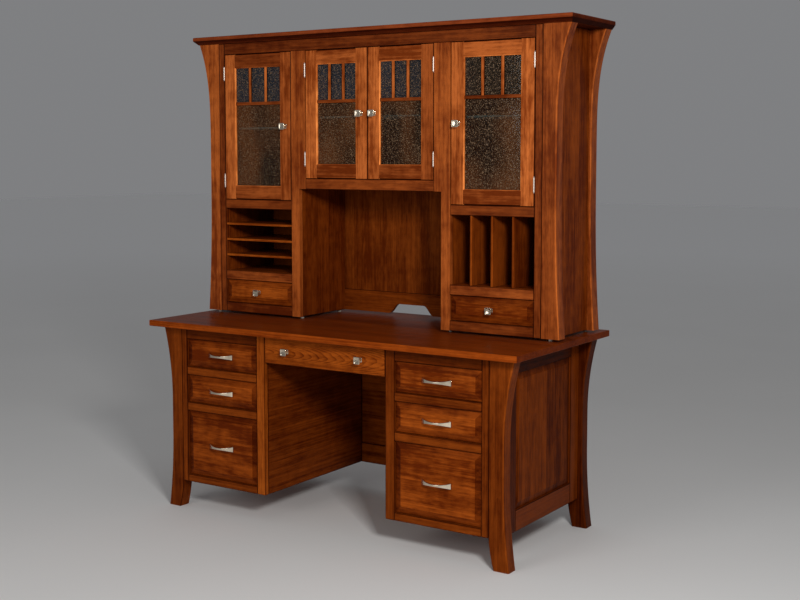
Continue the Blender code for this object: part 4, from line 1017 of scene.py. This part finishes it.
# Each door has its hinge side, then the stain of its left stile, its right stile and its top rail.
DOORS = {"left_door": (-1, 1.25, 1.0, 0.5), "centre_left_door": (-1, 1.4, 1.2, 1.0),
         "centre_right_door": (1, 1.3, 0.78, 0.95), "right_door": (1, 1.1, 1.3, 1.0)}
DOOR_RAIL = 0.056
DOOR_THICKNESS = 0.020
DOOR_LIP = 0.008
GLASS_SLOT = 0.0046
GLASS_GROOVE = 0.007
SIGHT_ROUND = 0.0028
# The rounded sight edge is painted paler as a painted highlight.
SIGHT_HIGHLIGHT = 2.2
# The outer edge of each door is darkened with painted shade in the gap round it.
DOOR_EDGE_SHADE = 0.14
BAR = 0.013
BAR_SETBACK = 0.002
BAR_ROUND = 0.0026
BAR_TENON = 0.003
UPRIGHT_BAR_SETBACK = 0.0024
CROSS_BAR_STAIN = 0.55
# The upright bars are painted paler with painted light.
UPRIGHT_BAR_LIGHT = 1.3
UPPER_PANE_HEIGHT = 0.139
UPPER_PANES = 3
UPPER_GLASS = reach("right_door")[1][2] - DOOR_RAIL - UPPER_PANE_HEIGHT
HINGE_LENGTH = 0.052
HINGE_RADIUS = 0.0032
HINGE_TIP = 0.004
HINGE_LEAF = 0.0006
LEAF_GAP = 0.0001
LEAF_EASE = 0.0001
KNUCKLES = 5
KNUCKLE_GAP = 0.00025
KNUCKLE_EDGE = 0.86  # width at the edge of a knuckle, and of the tip, as shares of the barrel
TIP_WIDTH = 0.72
# The raised blue in its light colour is a painted sheen.
CHERRY_DOOR = timber("cherry_door", (0.185, 0.0308, 0.0042), (0.48, 0.1140, 0.0225), streak=1.1, curl=2.0)
HINGE_NICKEL = brushed_nickel("hinge_nickel", (0.60, 0.50, 0.43), (0.76, 0.64, 0.56), 0.45)


def door_member(run, edge, inward, along, stain):
    """A stile or rail from two rings, one at each end. Its profile goes in from the outer edge to a rounded
    sight edge, back past the glass groove, and out again along the rear face."""
    bend = np.linspace(0, np.pi / 2, 5)
    nose = np.stack([DOOR_RAIL - SIGHT_ROUND * (1 - np.sin(bend)), SIGHT_ROUND * (1 - np.cos(bend))], axis=1)
    groove, floor = DOOR_LIP + GLASS_SLOT, DOOR_RAIL - GLASS_GROOVE
    heel = [(DOOR_RAIL, DOOR_LIP), (floor, DOOR_LIP), (floor, groove), (DOOR_RAIL, groove),
            (DOOR_RAIL, DOOR_THICKNESS), (0, DOOR_THICKNESS), (0, ARRIS), (ARRIS, 0), (2 * ARRIS, 0)]
    across, depth = np.concatenate([nose, heel]).T
    ways = np.reshape(run, (2, 1)), edge + inward * across
    x, z = ways if along == 0 else ways[::-1]
    # Painted highlight on the sight edge, painted shade on the outer edge in the gap.
    shade = np.array([1.0] + [SIGHT_HIGHLIGHT] * len(nose) + [1.0] * 4 + [DOOR_EDGE_SHADE] * 3 + [1.0])
    return figured(laid(x, hutch_face + depth, z), along, stain=stain * shade)


def thin_bar(low, high, along, stain):
    """A slim bar with rounded edges."""
    return figured(plank(low, high, along, BAR_ROUND, 4), along, stain=stain)


def glazed_door(name, left_stain, right_stain, top_stain):
    """Two stiles the height of the door, two rails and a cross bar between them, and two upright bars."""
    (x0, _, z0), (x1, _, z1) = reach(name)
    cut = DOOR_RAIL - SIGHT_ROUND
    across = (x0 + cut, x1 - cut)
    boards = [door_member((z0, z1), x0, 1, 2, left_stain), door_member((z0, z1), x1, -1, 2, right_stain),
              door_member(across, z0, 1, 0, BOTTOM_RAIL_STAIN), door_member(across, z1, -1, 0, top_stain)]
    left, right, top = x0 + DOOR_RAIL, x1 - DOOR_RAIL, z1 - DOOR_RAIL
    cross = top - UPPER_PANE_HEIGHT
    back = hutch_face + DOOR_LIP
    boards.append(thin_bar((left - BAR_TENON, hutch_face + BAR_SETBACK, cross - BAR),
                           (right + BAR_TENON, back, cross), 0, CROSS_BAR_STAIN))
    pane = (right - left - (UPPER_PANES - 1) * BAR) / UPPER_PANES
    for x in left + pane + (pane + BAR) * np.arange(UPPER_PANES - 1):
        boards.append(thin_bar((x, hutch_face + UPRIGHT_BAR_SETBACK, cross - BAR_TENON),
                               (x + BAR, back, top + BAR_TENON), 2, UPRIGHT_BAR_LIGHT))
    assemble(f"{name}_frame", boards, CHERRY_DOOR, "cherry_door", f"{name}_unit", name)


def seeded_glass():
    """Old drawn glass: wavy, with fine specks and a scatter of tiny drawn-out bubbles. Its brown tint comes
    and goes and stands in for the lit cupboard behind, as painted light; the upper panes are greyer with
    a painted reflection, less so to the right."""
    material, tree, shader = surface("seeded_glass")
    place = own_place(tree)
    wave = drawn_out(place, (16.0, 16.0, 9.0))
    grit = split(wire(tree, "TexVoronoi", {"Vector": place, "Scale": 330.0})["Color"])[0]
    pulled = stretched(place, (150.0, 150.0, 95.0))
    seed = wire(tree, "TexVoronoi", {"Vector": pulled, "Scale": 1.0})["Distance"]
    bubble = reckon("MULTIPLY", graded(seed, 0.26, 0.10), 0.4)
    spots = reckon("MAXIMUM", bubble, graded(grit, 0.74, 1.0))
    x, _, z = split(place)
    # Painted reflection: the upper panes are tinted grey, more to the left; the lower ones get a painted
    # brown for the lit cupboard behind.
    painted_reflection = blend(graded(x, 0.1, 0.5), (0.031, 0.034, 0.043), (0.020, 0.014, 0.009))
    drift = graded(drawn_out(place, (7.0, 7.0, 3.0), 1.0), 0.38, 0.62)
    brown = blend(drift, (0.018, 0.009, 0.005), (0.118, 0.041, 0.013))
    tint = blend(reckon("GREATER_THAN", z, UPPER_GLASS), brown, painted_reflection)
    feed(shader, {"Base Color": blend(spots, tint, (0.225, 0.140, 0.078)), "Specular IOR Level": 0.14,
                  "Alpha": scaled(spots, 0.3, scaled(wave, 0.2, 0.38)),
                  "Roughness": scaled(spots, 0.15, 0.07), "Normal": dented(wave, 0.4, 0.0015)})
    return material


def hinge_barrel(x, y, foot):
    """Rings up a hinge barrel: a round tip at each end and five knuckles, parted by fine grooves."""
    ends = foot + HINGE_LENGTH / KNUCKLES * np.arange(KNUCKLES + 1)
    start, end, gap = ends[:-1], ends[1:], KNUCKLE_GAP
    body = np.stack([start + gap, start + 2 * gap, end - 2 * gap, end - gap], axis=1).ravel()
    size = np.tile([KNUCKLE_EDGE, 1.0, 1.0, KNUCKLE_EDGE], KNUCKLES)
    share = np.linspace(0.02, 0.92, 6)
    ball = TIP_WIDTH * np.sqrt(1 - (1 - 2 * share) ** 2)
    rise = HINGE_TIP * share
    height = np.concatenate([foot - HINGE_TIP + rise, body, foot + HINGE_LENGTH + HINGE_TIP - rise[::-1]])
    radius = HINGE_RADIUS * np.concatenate([ball, size, ball[::-1]])
    return turned(x, y, height, radius, 28)


def hinge_leaf(x, way, y, back, foot):
    """A thin plate from the barrel to the back of the hinge, a hair to one side of its middle."""
    ends = (x + LEAF_GAP * way, y, foot + FIT), (x + HINGE_LEAF * way, back, foot + HINGE_LENGTH - FIT)
    return plank(*ends, 2, LEAF_EASE)


PANE = seeded_glass()
for name, (hand, *stains) in DOORS.items():
    glazed_door(name, *stains)
    glaze(f"{name}_glass", PANE)
    fit_knob(f"{name}_knob", f"{name}_unit")
    leaves = []
    for row in ("upper", "lower"):
        low, high = reach(f"{name}_hinge_{row}")
        x, y, foot = (low[0] + high[0]) / 2, low[1] + HINGE_RADIUS, low[2] + HINGE_TIP
        fixed = [figured(hinge_barrel(x, y, foot), 2), figured(hinge_leaf(x, hand, y, high[1], foot), 2)]
        leaves.append(hinge_leaf(x, -hand, y, high[1], foot))
        assemble(f"{name}_hinge_{row}_metal", fixed, HINGE_NICKEL, "nickel", "carcass", f"{name}_hinge_{row}",
                 smooth=40)
    leaves = [figured(leaf, 2) for leaf in leaves]
    assemble(f"{name}_hinge_leaves", leaves, HINGE_NICKEL, "nickel", f"{name}_unit")


# Studio
# A plain pale floor, lit by a small key light from the front right, a broad fill from the front and an even
# dim room. The camera stands at eye height and looks a little down.

FLOOR_HALF = 30.0
KEY = {"place": (2.8, -2.7, 2.3), "aim": (0.0, 0.0, 0.95), "size": 0.6, "power": 84.0}
FILL = {"place": (-0.8, -4.8, 1.9), "aim": (0.0, 0.0, 0.9), "size": 2.0, "power": 40.0}
CAMERA_PLACE = (2.7628, -4.0071, 1.4280)
CAMERA_TURN = (np.radians(85.5), 0.0, 0.5814)
CAMERA_LENS = 56.167
CAMERA_SHIFT = -0.0588


def floor():
    """Pale matte sheet with a very faint mottle, whiter far off, where only the room lights it."""
    corners = FLOOR_HALF * np.array([(-1, -1, 0), (1, -1, 0), (1, 1, 0), (-1, 1, 0)])
    mesh = bpy.data.meshes.new("studio_floor")
    mesh.from_pydata(corners.tolist(), [], [(0, 1, 2, 3)])
    material, tree, shader = surface("pale_floor")
    place = own_place(tree)
    tone = blend(drawn_out(place, (0.8, 0.8, 0.8), 3.0), (0.80, 0.79, 0.77), (0.86, 0.85, 0.83))
    tone = blend(graded(length(place), 3.0, 14.0), tone, (0.97, 0.97, 0.97))
    feed(shader, {"Base Color": tone, "Roughness": 0.7, "Specular IOR Level": 0.2})
    mesh.materials.append(material)
    stand("studio_floor", mesh)


def lamp(name, place, aim, size, power):
    """Square area light that looks at a point."""
    light = bpy.data.lights.new(name, "AREA")
    light.size, light.energy = size, power
    made = stand(name, light)
    made.location = place
    made.rotation_euler = (Vector(aim) - Vector(place)).to_track_quat("-Z", "Y").to_euler()


def room():
    """Even soft light from all round, and the plain backdrop."""
    world = bpy.data.worlds.new("room")
    world.use_nodes = True
    tree = world.node_tree
    tree.nodes.clear()
    walls = wire(tree, "Background", {"Color": (0.96, 0.97, 1.0, 1.0), "Strength": 0.22})
    wire(tree, "OutputWorld", {0: walls[0]})
    bpy.context.scene.world = world


floor()
lamp("key_light", **KEY)
lamp("fill_light", **FILL)
room()

lens = bpy.data.cameras.new("camera")
lens.sensor_width, lens.lens, lens.shift_y = 36.0, CAMERA_LENS, CAMERA_SHIFT
camera = stand("camera", lens)
camera.location = CAMERA_PLACE
camera.rotation_euler = CAMERA_TURN
bpy.context.scene.camera = camera
bpy.context.scene.view_settings.view_transform = "Standard"
